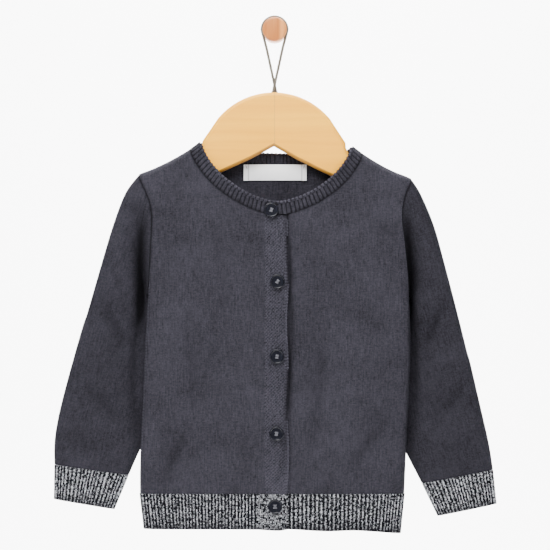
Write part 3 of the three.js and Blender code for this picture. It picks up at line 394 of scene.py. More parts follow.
class Finish:
    """A material under construction"""

    def __init__(self, name, slot):
        self.material = bpy.data.materials.new(name)
        self.material.use_nodes = True
        self.tree = self.material.node_tree
        self.tree.nodes.clear()
        self.slot = slot

    def node(self, kind, settings=None, sockets=None, output=0):
        return add_node(self.tree, kind, settings, sockets, output)

    def place(self):
        return self.node("ShaderNodeTexCoord", output="Object")

    def cloth_uv(self):
        return self.split(self.node("ShaderNodeUVMap", {"uv_map": "cloth"}))[:2]

    def mark(self, name):
        return self.node("ShaderNodeAttribute", {"attribute_name": name}, output="Fac")

    def split(self, vector):
        return self.node("ShaderNodeSeparateXYZ", sockets={0: vector}, output=None)

    def join(self, x, y, z):
        return self.node("ShaderNodeCombineXYZ", sockets={"X": x, "Y": y, "Z": z})

    def noise(self, vector, scale, detail=2.0):
        return self.node("ShaderNodeTexNoise", {"noise_dimensions": "3D"},
                         {"Vector": vector, "Scale": scale, "Detail": detail, "Roughness": 0.5})

    def streaks(self, x, y, z, detail):
        """Noise whose fineness along each axis is already in x, y and z"""
        return self.noise(self.join(x, y, z), 1.0, detail)

    def speck(self, vector):
        return self.node("ShaderNodeTexWhiteNoise", {"noise_dimensions": "3D"}, {"Vector": vector})

    def blend(self, factor, first, second):
        sockets = {MIX["factor"]: factor, MIX["first"]: opaque(first), MIX["second"]: opaque(second)}
        return self.node("ShaderNodeMix", {"data_type": "RGBA", "clamp_factor": True}, sockets,
                         MIX["result"])

    def ramp(self, factor, low, high):
        return self.node("ShaderNodeMapRange", {"interpolation_type": "SMOOTHSTEP"},
                         {0: factor, 1: low, 2: high})

    def bump(self, height, distance, strength):
        return self.node("ShaderNodeBump", sockets={
            "Height": height, "Distance": distance, "Strength": strength})

    def done(self, colour, rough, normal=None, fixed=None):
        sockets = {**(fixed or {}), "Base Color": opaque(colour), "Roughness": rough}
        if normal is not None:
            sockets["Normal"] = normal
        shader = self.node("ShaderNodeBsdfPrincipled", sockets=sockets)
        self.node("ShaderNodeOutputMaterial", sockets={0: shader}, output=None)
        return self


def knit_pattern(finish, across, up, width, height, lean=STITCH["lean"]):
    """Height of plain knit: each stitch is a V of two leaning legs. Also gives the cell."""
    column = across / width
    offset = (column.fraction() - 0.5).size()
    row = up / height + offset * 2.0 * lean
    leg = (1.0 - ((offset - STITCH["leg_at"]) / STITCH["leg_at"]).size()).most(0.0)
    coil = (1.0 - row.off_middle().power(STITCH["coil_round"])).most(0.0)
    cell = finish.join(column.floor(), row.floor(), offset.above(STITCH["leg_at"]))
    return leg.power(STITCH["leg_round"]) * (1.0 - STITCH["coil"] + STITCH["coil"] * coil), cell


def placket_pattern(finish, across, up, stitch):
    """The button band's height: seed stitch, then a column of loops, beside plain knit"""
    band = across.above(PLACKET["left"] * MM)
    chain = across.above((PLACKET["right"] - PLACKET["loops"]) * MM)
    fine = SEED["stray_fine"]
    stray = finish.streaks(across * fine, up * fine, 9.0, 1.0) * SEED["stray"]
    rise = ((across - up) / SEED["rise"] + stray).off_middle()
    fall = ((across + up) / SEED["fall"] + stray).off_middle()
    seed = (1.0 - rise.power(2.0)) * (1.0 - SEED["cross"] * fall.power(2.0)) * SEED["height"]
    loop = 1.0 - (up / SEED["loop"]).off_middle().power(2.0)
    seed = seed * (1.0 - chain) + loop * chain * SEED["loop_height"]
    return stitch * (1.0 - band) + seed * band * SEED["band_height"]


def jersey_finish(name, slot, colour, sizes, placket=False, wide=1.0, ribbed=False):
    """Fine plain knit in one uneven yarn, with painted shade between its stitches, in its creases, along
    its seams and between its ribs
    """
    finish = Finish(name, slot)
    across, up = finish.cloth_uv()
    height, cell = knit_pattern(
        finish, across, up, sizes.stitch_width * wide, sizes.stitch_height * wide)
    spot = finish.speck(cell)
    place = finish.place()
    cloudy = finish.noise(place, JERSEY["cloud"], 3.0)
    fuzz = finish.noise(place, JERSEY["fuzz"])
    if placket:
        height = placket_pattern(finish, across, up, height)
    wide_slub, high_slub = JERSEY["slub"]
    slub = finish.streaks(across * wide_slub, up * high_slub, 0.0, 3.0)
    wide_wale, high_wale = JERSEY["wale"]
    wales = finish.streaks(across * wide_wale, up * high_wale, 5.0, 2.0)
    # The stitches' raised legs are painted paler and the gaps between them darker, mixed with the yarn's
    # own uneven tone
    shade = (JERSEY["stitch_share"] * height.least(1.0) + JERSEY["speck_share"] * spot
             + JERSEY["slub_share"] * slub + JERSEY["wale_share"] * wales
             + JERSEY["cloud_share"] * cloudy - JERSEY["offset"])
    pale = shaded(colour, JERSEY["pale"])
    tone = finish.blend(shade.least(1.0).most(0.0), shaded(colour, JERSEY["dark"]), pale)
    tone = finish.blend(fuzz.above(JERSEY["fuzz_above"]) * JERSEY["fuzz_share"], tone, pale)
    # Painted shade in the creases, from the mark that dress_panel leaves
    hollow = finish.mark("hollow").least(JERSEY["crease_shade_most"])
    tone = finish.blend(hollow, tone, shaded(colour, JERSEY["crease_shade_dark"]))
    # Painted shade along the seams, where the cloth is drawn in
    seam = finish.mark("seam") * JERSEY["seam_shade_share"]
    tone = finish.blend(seam, tone, shaded(colour, JERSEY["seam_shade_dark"]))
    # Ribbed bands get painted shade in the valleys between their ribs
    if ribbed:
        between = finish.ramp(finish.mark("rib"), JERSEY["between_ribs"], 0.0)
        tone = finish.blend(
            between * JERSEY["between_ribs_shade_share"], tone, shaded(colour, JERSEY["between_ribs_shade_dark"]))
    normal = finish.bump(height * 0.8 + fuzz * 0.25, JERSEY["bump"], 0.75)
    return finish.done(tone, 0.88 + 0.08 * cloudy, normal, DULL)


def marl_finish(name, slot, colours, paler=0.0):
    """Black and pale yarn plied together: short leaning flecks, with painted light on the raised ribs
    and painted shade in the gaps between stitches
    """
    finish = Finish(name, slot)
    across, up = finish.cloth_uv()
    stitch, cell = knit_pattern(finish, across, up, MARL["width"], MARL["height"], MARL["lean"])
    spot = finish.speck(cell)
    wide, high, slant = MARL["drift"]
    drift = finish.streaks(across * wide, up * high + across * slant, 0.0, 2.0)
    # The flecks' own pale and dark, plus painted light on the raised ribs
    pale = (MARL["speck_share"] * spot + MARL["drift_share"] * drift
            + MARL["rib_light_share"] * finish.mark("rib") + (paler - MARL["offset"]))
    mask = finish.ramp(pale, MARL["pale_from"], MARL["pale_to"])
    tone = finish.blend(mask, colours.marl_dark, colours.marl_pale)
    # Painted shade in the gaps between the stitches
    gap = stitch.below(MARL["gap"]) * MARL["gap_shade_share"]
    tone = finish.blend(gap, tone, colours.marl_dark)
    tone = finish.blend(finish.mark("start") * MARL["start_share"], tone, colours.marl_dark)
    normal = finish.bump(stitch + 0.3 * drift, MARL["bump"], 0.8)
    return finish.done(tone, 0.9, normal, DULL)


def wood_finish(name, slot, colour, wood):
    """Fine straight grain along one axis, with pores and slow colour drift"""
    finish = Finish(name, slot)
    x, y, z = finish.split(finish.place())
    axes = (x, y, z) if wood["grain"] == "X" else (z, x, y)
    drift_at, ring_at, pore_at = (
        [axis * fine for axis, fine in zip(axes, WOOD[key])] for key in ("drift", "rings", "pores"))
    drift = finish.streaks(*drift_at, 3.0)
    ring_at[2] = ring_at[2] + drift * WOOD["ring_wave"]
    rings = finish.streaks(*ring_at, 4.0)
    pores = finish.streaks(*pore_at, 1.0)
    dark = shaded(colour, *wood["dark"])
    pale = shaded(colour, *WOOD["pale"])
    tone = finish.blend(finish.ramp(rings, *WOOD["ring_ramp"]), dark, pale)
    tone = finish.blend(wood["even"], tone, colour)
    tone = finish.blend(finish.ramp(pores, *WOOD["pore_ramp"]) * WOOD["pore_share"], tone, dark)
    if wood["joint"]:
        # Painted shade on the faces that look down
        under = finish.ramp(finish.mark("under"), *WOOD["underside_shade_ramp"]) * WOOD["underside_shade_share"]
        tone = finish.blend(under, tone, WOOD["under"])
        joint = finish.ramp(x.size(), *wood["joint"]) * WOOD["joint_share"]
        tone = finish.blend(joint, tone, WOOD["joint"])
    normal = finish.bump(rings * 0.4 + pores * 0.3, WOOD["bump"], 0.5)
    return finish.done(tone, 0.34 + 0.12 * drift, normal, {
        "Coat Weight": wood["varnish"], "Coat Roughness": 0.22, "Specular IOR Level": 0.22})


def string_finish(colour):
    """Cotton with pale and dark fibres"""
    finish = Finish("cotton string", "string")
    place = finish.place()
    fibre = finish.noise(place, STRING_YARN["fibre"])
    drift = finish.noise(place, STRING_YARN["drift"])
    tone = finish.blend(fibre, shaded(colour, STRING_YARN["dark"]), colour)
    pale = shaded(colour, STRING_YARN["pale"])
    tone = finish.blend(drift * STRING_YARN["pale_share"], tone, pale)
    return finish.done(tone, 0.85, finish.bump(fibre, STRING_YARN["bump"], 0.7), DULL)


def button_finish(colour):
    """Polished plastic, with its sunk middle left dull"""
    finish = Finish("polished plastic", "button")
    place = finish.place()
    haze = finish.noise(place, PLASTIC["haze"], 3.0)
    scuff = finish.noise(place, PLASTIC["scuff"])
    tone = finish.blend(haze * PLASTIC["haze_share"], colour, PLASTIC["haze_colour"])
    sunk = finish.mark("sunk")
    rough = (PLASTIC["rough"] + PLASTIC["haze_rough"] * haze + PLASTIC["scuff_rough"] * scuff
             + PLASTIC["sunk_rough"] * sunk)
    return finish.done(tone, rough, finish.bump(haze, PLASTIC["bump"], 0.4), {
        "Coat Weight": PLASTIC["coat"] - PLASTIC["coat"] * sunk, "Coat Roughness": 0.05,
        "Specular IOR Level": 0.08})


def thread_finish(name, colour, slot):
    """Spun thread or yarn, darker between its fibres"""
    finish = Finish(name, slot)
    fibre = finish.noise(finish.place(), YARN_FIBRE["fine"])
    tone = finish.blend(fibre, shaded(colour, YARN_FIBRE["dark"]), colour)
    return finish.done(tone, 0.7, finish.bump(fibre, YARN_FIBRE["bump"], 0.6), DULL)


def satin_finish():
    """White woven satin: fine long floats whose soft cross shimmer is painted greyer as shade at their
    ends and between rows, with a painted shadow beside each folded end
    """
    finish = Finish("white satin", "label_satin")
    across, up = finish.cloth_uv()
    row = up / SATIN["row"]
    floats = (across / SATIN["float"] + row.floor() * SATIN["step"]).off_middle()
    rib = row.off_middle()
    # The weave's own pattern, painted greyer as shade at the floats' ends and between rows
    shimmer = floats * SATIN["float_share"] + rib * SATIN["row_share"]
    tone = finish.blend(shimmer, SATIN["white"], SATIN["shimmer"])
    cloud = finish.ramp(finish.noise(finish.place(), SATIN["cloud_fine"]), *SATIN["cloud_ramp"])
    tone = finish.blend(cloud * SATIN["cloud_share"], tone, SATIN["cloud"])
    # Painted shadow along the edge of each folded end
    edge = ((across - LABEL["middle"] * MM).size() - LABEL["fold_at"] * MM).size()
    fold = finish.ramp(edge, *SATIN["fold_shadow_ramp"]) * SATIN["fold_shadow_share"]
    tone = finish.blend(fold, tone, SATIN["fold"])
    normal = finish.bump(
        (1.0 - floats.power(3.0)) * 0.6 + (1.0 - rib) * 0.5, SATIN["bump"], 0.6)
    return finish.done(tone, 0.42 + 0.16 * floats, normal, {
        "Sheen Weight": 0.2, "Specular IOR Level": 0.5})


def clear_selection():
    if bpy.context.object and bpy.context.object.mode != "OBJECT":
        bpy.ops.object.mode_set(mode="OBJECT")
    bpy.ops.object.select_all(action="DESELECT")


def make_active(piece):
    clear_selection()
    piece.select_set(True)
    bpy.context.view_layer.objects.active = piece


def new_piece(name, data):
    piece = bpy.data.objects.new(name, data)
    bpy.context.scene.collection.objects.link(piece)
    return piece


def edit_whole(piece):
    """Opens a piece in edit mode with all of it selected"""
    make_active(piece)
    bpy.ops.object.mode_set(mode="EDIT")
    bpy.ops.mesh.select_all(action="SELECT")


def set_mark(piece, name, values):
    """Stores one number at each point, for the materials to read"""
    layer = piece.data.attributes.new(name, "FLOAT", "POINT")
    layer.data.foreach_set("value", values)


def surface_of(piece):
    return BVHTree.FromPolygons([vert.co.copy() for vert in piece.data.vertices],
                                [list(face.vertices) for face in piece.data.polygons])


def lengths_along(route):
    lengths = [0.0]
    for one, two in zip(route, route[1:]):
        lengths.append(lengths[-1] + (two - one).length)
    return lengths


def apply_modifier(piece, kind, **settings):
    make_active(piece)
    modifier = piece.modifiers.new("step", kind)
    for key, value in settings.items():
        setattr(modifier, key, value)
    bpy.ops.object.modifier_apply(modifier=modifier.name)


def copy_of_node(node, name):
    """A merged copy of a solid, with its faces back in fours"""
    piece = new_piece(name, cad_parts[node].data.copy())
    piece.data.materials.clear()
    make_active(piece)
    if piece.data.has_custom_normals:
        bpy.ops.mesh.customdata_custom_splitnormals_clear()
    edit_whole(piece)
    bpy.ops.mesh.remove_doubles(threshold=0.00001)
    bpy.ops.mesh.tris_convert_to_quads(
        face_threshold=math.radians(60), shape_threshold=math.radians(70))
    bpy.ops.object.mode_set(mode="OBJECT")
    return piece


def crease_rims(piece, angle=PANEL_CREASE):
    """Holds the edges of a wall sharp when it is smoothed"""
    mesh = bmesh.new()
    mesh.from_mesh(piece.data)
    layer = mesh.edges.layers.float.get("crease_edge") or mesh.edges.layers.float.new("crease_edge")
    for edge in mesh.edges:
        if len(edge.link_faces) == 2 and edge.calc_face_angle(0) > math.radians(angle):
            edge[layer] = 1.0
    mesh.to_mesh(piece.data)
    mesh.free()


def points_of(piece):
    data = np.empty(len(piece.data.vertices) * 3)
    piece.data.vertices.foreach_get("co", data)
    return data.reshape(-1, 3)


def set_points(piece, points):
    piece.data.vertices.foreach_set("co", points.ravel())
    piece.data.update()


def soft_step(low, high, value):
    share = np.clip((value - low) / (high - low), 0.0, 1.0)
    return share * share * (3.0 - 2.0 * share)


def crease_depth(creases, x, z, amount):
    """How far the creases push each point in, in millimetres"""
    total = np.zeros_like(x)
    for crease in creases:
        run_x, run_z = crease["to_x"] - crease["x"], crease["to_z"] - crease["z"]
        length = math.hypot(run_x, run_z)
        share = ((x - crease["x"]) * run_x + (z - crease["z"]) * run_z) / length ** 2
        off = ((x - crease["x"]) * run_z - (z - crease["z"]) * run_x) / length
        bend = CREASE["bow"] * length * (share - 0.5) ** 2
        ends = soft_step(*CREASE["start"], share) * soft_step(*CREASE["end"], share)
        total += crease["deep"] * ends * np.exp(-(((off - bend) / crease["width"]) ** 2))
    return total * amount


def on_cloth(points, turn):
    """How far across and along the cloth each point lies, on a piece turned about Y"""
    cos, sin = math.cos(turn), math.sin(turn)
    return points[:, 0] * cos - points[:, 2] * sin, points[:, 0] * sin + points[:, 2] * cos


def cloth_map(piece, turn=0.0):
    """UVs in metres on the cloth: wales run along the panel, turned for a sleeve"""
    mesh = piece.data
    while mesh.uv_layers:
        mesh.uv_layers.remove(mesh.uv_layers[0])
    layer = mesh.uv_layers.new(name="cloth")
    loops = np.empty(len(mesh.loops), dtype=np.int32)
    mesh.loops.foreach_get("vertex_index", loops)
    points = points_of(piece)[loops]
    normals = np.empty(len(mesh.polygons) * 3)
    mesh.polygons.foreach_get("normal", normals)
    counts = np.empty(len(mesh.polygons), dtype=np.int32)
    mesh.polygons.foreach_get("loop_total", counts)
    facing = np.repeat(normals.reshape(-1, 3), counts, axis=0)
    across, along = on_cloth(points, turn)
    edge_on = np.abs(facing[:, 1]) < EDGE_ON
    across = np.where(edge_on, points[:, 1] + EDGE_SHIFT, across)
    layer.data.foreach_set("uv", np.column_stack([across, along]).ravel())


def finish_piece(piece, finish, nodes=(), smooth=50.0):
    piece.data.materials.clear()
    piece.data.materials.append(finish.material)
    make_active(piece)
    bpy.ops.object.shade_smooth_by_angle(angle=math.radians(smooth))
    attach(piece, BODY)
    if nodes:
        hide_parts(*nodes)


def sleeve_push(x, y, z, amount):
    """How far each point of a sleeve is pushed, and the way and share of that push"""
    heights = [row["z"] for row in SLEEVE_EDGES]
    outer = np.interp(z, heights, [row["outer"] for row in SLEEVE_EDGES])
    inner = np.interp(z, heights, [row["inner"] for row in SLEEVE_EDGES])
    share = np.clip((np.abs(x) - inner) / (outer - inner), 0, 1)
    middle = SLEEVE_MIDDLE["inner"] - SLEEVE_MIDDLE["run"] * soft_step(0.0, 1.0, share)
    edge = SLEEVE_MIDDLE["edge"]
    guard = soft_step(0.0, edge, share) * soft_step(1.0, 1.0 - edge, share)
    side = np.where(y < middle, 1.0, SLEEVE_MIDDLE["rear"]) * guard
    push = crease_depth(SLEEVE_CREASES, np.abs(x), z, amount) * side
    return push * soft_step(*FADE["cuff"], z), side


def panel_push(creases, x, z, amount):
    """How far each point of a front or the back is pushed, and which way"""
    side = 1.0 if creases is FRONT_CREASES else -1.0
    push = crease_depth(creases, x, z, amount) * side
    push *= soft_step(*FADE["hem"], z) * soft_step(*FADE["shoulder"], z)
    return push * soft_step(*FADE["side"], np.abs(x)), side


def dress_panel(node, name, finish, creases, turn=0.0):
    """A panel of jersey: the solid's wall made fine, then creased, with a mark for the painted shade in
    its creases
    """
    amount = bpy.context.scene.cardigan_sizes.crease
    piece = copy_of_node(node, name)
    crease_rims(piece)
    apply_modifier(piece, "SUBSURF", levels=2, render_levels=2)
    x, y, z = (points_of(piece) / MM).T
    if creases is SLEEVE_CREASES:
        push, side = sleeve_push(x, y, z, amount)
    else:
        push, side = panel_push(creases, x, z, amount)
    set_points(piece, np.column_stack([x, y + push, z]) * MM)
    # How far each point is pushed into a crease, squared: its share of the painted shade in the creases
    set_mark(piece, "hollow", np.clip(push * np.sign(side) / CREASE_SHADE_DEPTH, 0, 1) ** 2)
    cloth_map(piece, turn)
    finish_piece(piece, finish, (node,))


def dress_rib(node, name, finish, turn=0.0):
    """A ribbed band: the solid's raised ribs rounded, with a mask that marks each rib"""
    piece = copy_of_node(node, name)
    mark_ribs(piece)
    crease_rims(piece, RIB_CREASE)
    apply_modifier(piece, "SUBSURF", levels=1, render_levels=1, subdivision_type="SIMPLE")
    apply_modifier(piece, "SUBSURF", levels=1, render_levels=1)
    mark_start(piece, turn)
    cloth_map(piece, turn)
    finish_piece(piece, finish, (node,), RIB_CREASE)


def mark_start(piece, turn):
    """Marks the edge that the knitting starts from: the lowest point of each narrow column"""
    across, along = on_cloth(points_of(piece) / MM, turn)
    column = np.round((across - across.min()) / START_COLUMN).astype(int)
    lowest = np.full(column.max() + 1, np.inf)
    np.minimum.at(lowest, column, along)
    set_mark(piece, "start", soft_step(START_EDGE, 0.0, along - lowest[column]))


def mark_ribs(piece):
    """Marks each point 1 on a rib and 0 beside one, from how thick the wall is there"""
    mesh = bmesh.new()
    mesh.from_mesh(piece.data)
    mesh.normal_update()
    layer = mesh.verts.layers.float.new("rib")
    raised = set()
    for vert in mesh.verts:
        across = [edge.calc_length() for edge in vert.link_edges
                  if edge.calc_length() < RIB_EDGE * MM
                  and edge.calc_face_angle(math.pi) < math.radians(30)]
        if across and max(across) > RIB_MARK * MM:
            raised.add(vert.index)
    for vert in mesh.verts:
        near = [edge.other_vert(vert).index for edge in vert.link_edges]
        beside = any(index in raised for index in near)
        vert[layer] = 1.0 if vert.index in raised else (0.0 if beside else PLAIN_MARK)
    mesh.to_mesh(piece.data)
    mesh.free()


def heading(route, place):
    """The way that a run of points goes at one of them"""
    return (route[min(place + 1, len(route) - 1)] - route[max(place - 1, 0)]).normalized()


def tube(name, routes, radius, sides=8, swell=0.0):
    """Round cords along lists of points, as one mesh, swollen at every fourth point"""
    mesh = bmesh.new()
    for route in routes:
        rings = []
        side = heading(route, 0).orthogonal()
        for place, point in enumerate(route):
            way = heading(route, place)
            side = (side - way * side.dot(way)).normalized()
            up = way.cross(side)
            wide = radius * (1 + swell * math.cos(math.pi * place / 2))
            ring = []
            for step in range(sides):
                angle = math.tau * step / sides
                offset = side * math.cos(angle) + up * math.sin(angle)
                ring.append(mesh.verts.new(point + offset * wide))
            rings.append(ring)
        for one, two in zip(rings, rings[1:]):
            for step in range(sides):
                beside = (step + 1) % sides
                mesh.faces.new((one[step], one[beside], two[beside], two[step]))
        mesh.faces.new(rings[0][::-1])
        mesh.faces.new(rings[-1])
    bmesh.ops.recalc_face_normals(mesh, faces=mesh.faces)
    data = bpy.data.meshes.new(name)
    mesh.to_mesh(data)
    mesh.free()
    return new_piece(name, data)


class CARDIGAN_OT_panels(bpy.types.Operator):
    """Makes the fronts and the back in charcoal jersey"""

    bl_idname = "cardigan.panels"
    bl_label = "Fronts and back"

    def execute(self, context):
        colours, sizes = context.scene.cardigan_colours, context.scene.cardigan_sizes
        colour = tuple(colours.jersey)
        plain = jersey_finish("charcoal jersey", "knit_jersey", colour, sizes)
        banded = jersey_finish(
            "charcoal jersey with band", "knit_jersey", colour, sizes, placket=True)
        dress_panel("right_front", "front_right", banded, FRONT_CREASES)
        dress_panel("left_front", "front_left", plain, FRONT_CREASES)
        dress_panel("back_panel", "back", plain, BACK_CREASES)
        return {"FINISHED"}


class CARDIGAN_OT_sleeves(bpy.types.Operator):
    """Makes both sleeves in charcoal jersey"""

    bl_idname = "cardigan.sleeves"
    bl_label = "Sleeves"

    def execute(self, context):
        colours, sizes = context.scene.cardigan_colours, context.scene.cardigan_sizes
        for side, turn, flat, area in (
            ("right", SLEEVE_TURN, (0.150, 0.27), 0.0313), ("left", -SLEEVE_TURN, (0.140, 0.27), 0.0286),
        ):
            # Each sleeve is a darker copy of the jersey: painted shade
            colour = shaded(colours.jersey, YARN_LIT_AND_SHADED[f"{side}_sleeve"])
            finish = jersey_finish(f"{side} sleeve jersey", "knit_jersey", colour, sizes)
            dress_panel(
                f"{side}_sleeve", f"sleeve_{side}", finish, SLEEVE_CREASES, turn)
        return {"FINISHED"}


class CARDIGAN_OT_ribs(bpy.types.Operator):
    """Makes the neck, hem and cuff ribs"""

    bl_idname = "cardigan.ribs"
    bl_label = "Ribs"

    def execute(self, context):
        colours, sizes = context.scene.cardigan_colours, context.scene.cardigan_sizes
        # The neck rib is a slightly darker copy of the jersey: painted shade
        neck = jersey_finish("neck rib", "neck_rib", shaded(colours.jersey, YARN_LIT_AND_SHADED["neck"]),
                             sizes, wide=NECK_STITCH, ribbed=True)
        marl = marl_finish("marl rib", "marl_rib", colours)
        # A paler, lit copy of the marl for the cuffs: painted light
        cuff_marl = marl_finish("marl cuff", "marl_rib", colours, CUFF_PALER)
        dress_rib("neck_rib", "rib_neck", neck)
        dress_rib("right_front_hem_rib", "rib_hem_right", marl)
        dress_rib("left_front_hem_rib", "rib_hem_left", marl)
        dress_rib("back_hem_rib", "rib_hem_back", marl)
        dress_rib("right_cuff", "cuff_right", cuff_marl, CUFF_TURN)
        dress_rib("left_cuff", "cuff_left", cuff_marl, -CUFF_TURN)
        return {"FINISHED"}


def rim_chains(piece, other=None, keep=None):
    """Runs of points along the outer rim of a wall, where it lies close to another piece"""
    mesh = bmesh.new()
    mesh.from_mesh(piece.data)
    mesh.normal_update()
    near = surface_of(other) if other else None
    links = {}
    for edge in mesh.edges:
        if len(edge.link_faces) != 2 or edge.calc_face_angle(0) < math.radians(RIM_TURN):
            continue
        middle = (edge.verts[0].co + edge.verts[1].co) / 2
        out = max(face.normal.y * (middle.y - MID_Y * MM) for face in edge.link_faces)
        if out <= RIM_OUT or (keep and not keep(middle)):
            continue
        if near and near.find_nearest(middle, SEAM_REACH * MM)[0] is None:
            continue
        ends = list(edge.verts)
        for one, two in (ends, ends[::-1]):
            links.setdefault(one.index, []).append(two.index)
    mesh.verts.ensure_lookup_table()
    chains = []
    while links:
        start = next((i for i, ends in links.items() if len(ends) == 1), next(iter(links)))
        chain = [start]
        while links.get(chain[-1]):
            here = chain[-1]
            step = links[here].pop()
            links[step].remove(here)
            chain.append(step)
        links = {i: ends for i, ends in links.items() if ends}
        route = []
        for index in chain:
            place = mesh.verts[index].co
            if near:
                place = (place + near.find_nearest(place)[0]) / 2
            inward = Vector((0, math.copysign(1, MID_Y * MM - place.y), 0))
            route.append(place + inward * SEAM_SINK * MM)
        if len(route) > 3:
            chains.append(route)
    mesh.free()
    return chains


def mark_seams(pieces, points):
    """Draws the cloth in along its seams and marks how near each point is to one, for the painted shade
    along them
    """
    tree = KDTree(len(points))
    for index, point in enumerate(points):
        tree.insert(point, index)
    tree.balance()
    for piece in pieces:
        places = points_of(piece)
        near = np.array([tree.find(Vector(place))[2] for place in places]) / MM
        seam = np.exp(-((near / SEAM_WIDTH) ** 2))
        places[:, 1] += np.sign(MID_Y * MM - places[:, 1]) * seam * SEAM_DRAW * MM
        set_points(piece, places)
        set_mark(piece, "seam", seam)


class CARDIGAN_OT_seams(bpy.types.Operator):
    """Lays the linking yarn that joins the panels, and the chain stitch down the band"""

    bl_idname = "cardigan.seams"
    bl_label = "Seams"

    def execute(self, context):
        colour = context.scene.cardigan_colours.jersey
        joined = {}
        for one, two in SEAMS:
            routes = rim_chains(bpy.data.objects[one], bpy.data.objects[two])
            if routes:
                joined[one, two] = routes
        points = []
        for routes in joined.values():
            for route in routes:
                for start, end in zip(route, route[1:]):
                    points += [start.lerp(end, share / 4) for share in range(4)]
        lift = Vector((0, SEAM_SINK * MM, 0))
        surface = [point - lift * math.copysign(1, MID_Y * MM - point.y) for point in points]
        names = sorted({name for pair in SEAMS for name in pair})
        mark_seams([bpy.data.objects[name] for name in names], surface)
        self.lay_chain(colour)
        # The linking yarn is real, but its colour is a dark copy of the jersey: painted shade along the
        # seam lines
        finish = thread_finish("linking yarn", shaded(colour, YARN_LIT_AND_SHADED["seam"]), "knit_jersey")
        for (one, two), routes in joined.items():
            finish_piece(tube(f"seam_{one}_{two}", routes, SEAM_YARN * MM, 6), finish)
        return {"FINISHED"}

    def lay_chain(self, colour):
        """Lays the chain stitch down the edge of the buttonhole band"""
        edge = rim_chains(
            bpy.data.objects["front_right"],
            keep=lambda at: at.x > CHAIN_FROM["x"] * MM and at.z < CHAIN_FROM["z"] * MM
            and at.y < MID_Y * MM)
        lift = Vector((CHAIN_OUT, -CHAIN_LIFT, 0)) * MM
        chain = [[point + lift for point in resample(route, CHAIN_STEP * MM)] for route in edge]
        piece = tube("placket_chain", chain, CHAIN_YARN * MM, swell=CHAIN_SWELL)
        # The chain's loops are a paler copy of the jersey: a painted highlight where they catch the
        # light
        pale = shaded(colour, YARN_LIT_AND_SHADED["chain"])
        finish_piece(piece, thread_finish("chain stitch yarn", pale, "knit_jersey"))


class CARDIGAN_OT_neck_edge(bpy.types.Operator):
    """Rolls the free edge of the neck rib over, bumped at every rib"""

    bl_idname = "cardigan.neck_edge"
    bl_label = "Neck edge"

    def execute(self, context):
        colours, sizes = context.scene.cardigan_colours, context.scene.cardigan_sizes
        band = bpy.data.objects["rib_neck"]
        trees = [surface_of(bpy.data.objects[name]) for name in ("front_right", "front_left", "back")]
        free = [route for route in rim_chains(
            band, keep=lambda place: place.z < NECK_ROLL_TOP * MM and all(
                tree.find_nearest(place, NECK_FREE * MM)[0] is None for tree in trees))]
        routes = [resample(route, NECK_ROLL_STEP * MM)
                  for route in join_routes(free, NECK_FREE * MM) if len(route) > SHORT_RUN]
        for route in routes:
            for point in route:
                near = min((tree.find_nearest(point) for tree in trees), key=lambda found: found[3])
                point += (point - near[0]).normalized() * NECK_ROLL_REACH * MM
                point.y += math.copysign(NECK_ROLL_OUT * MM, point.y - MID_Y * MM)
        piece = tube("neck_roll", routes, NECK_ROLL * MM, NECK_ROLL_SIDES, swell=NECK_ROLL_SWELL)
        # Each bump of the roll is marked as a rib, for the painted shade between the bumps
        set_mark(piece, "rib", [
            0.5 + 0.5 * math.cos(math.pi * place / 2) for route in routes
            for place in range(len(route)) for _ in range(NECK_ROLL_SIDES)])
        cloth_map(piece)
        # The rolled edge is a paler copy of the jersey: a painted highlight where it catches the light
        colour = shaded(colours.jersey, YARN_LIT_AND_SHADED["neck_edge"])
        finish_piece(piece, jersey_finish(
            "neck edge", "neck_rib", colour, sizes, wide=NECK_STITCH, ribbed=True))
        return {"FINISHED"}


def join_routes(routes, reach):
    """Runs whose ends lie close together become one run"""
    routes = sorted(routes, key=len, reverse=True)
    joined = []
    while routes:
        run = list(routes.pop(0))
        found = True
        while found:
            found = False
            for other in routes:
                for part in (list(other), list(other)[::-1]):
                    if (run[-1] - part[0]).length < reach and len(part) > SHORT_RUN:
                        run, found = run + part, True
                    elif (run[0] - part[-1]).length < reach and len(part) > SHORT_RUN:
                        run, found = part + run, True
                    if found:
                        break
                if found:
                    routes.remove(other)
                    break
        joined.append(run)
    return joined


def resample(route, step):
    """The same run of points at an even spacing, rounded off"""
    lengths = lengths_along(route)
    count = max(2, round(lengths[-1] / step))
    table = np.array([tuple(point) for point in route])
    at = np.linspace(0, lengths[-1], count + 1)
    even = np.column_stack([np.interp(at, lengths, table[:, axis]) for axis in range(3)])
    for _ in range(ROUNDINGS):
        even[1:-1] = (even[:-2] + 2 * even[1:-1] + even[2:]) / 4
    return [Vector(point) for point in even]


class CARDIGAN_OT_buttons(bpy.types.Operator):
    """Turns one button and sews a copy on each button's place"""

    bl_idname = "cardigan.buttons"
    bl_label = "Buttons"

    def execute(self, context):
        finish = button_finish(context.scene.cardigan_colours.button)
        thread = thread_finish("sewing thread", SEWING_THREAD, "button")
        pattern = turned_button()
        for number, turn in enumerate(BUTTON_TURNS, 1):
            low, high = (Vector(corner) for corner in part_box(f"button_{number}"))
            tilt = button_tilt(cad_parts[f"button_{number}"])
            piece = new_piece(f"sewn_button_{number}", pattern.data.copy())
            place = (Matrix.Translation((low + high) / 2) @ Matrix.Rotation(tilt, 4, "X")
                     @ Matrix.Rotation(math.radians(turn), 4, "Y"))
            piece.data.transform(place)
            finish_piece(piece, finish, (f"button_{number}",), 35.0)
            stitches = sewing_stitches(f"button_thread_{number}")
            stitches.data.transform(place)
            finish_piece(stitches, thread)
        bpy.data.objects.remove(pattern)
        return {"FINISHED"}


def button_tilt(node):
    """The lean of a button's flat face about X, from its largest faces"""
    best = max(node.data.polygons, key=lambda face: face.area * (face.normal.y > BUTTON_FACE))
    return math.atan2(best.normal.z, best.normal.y)


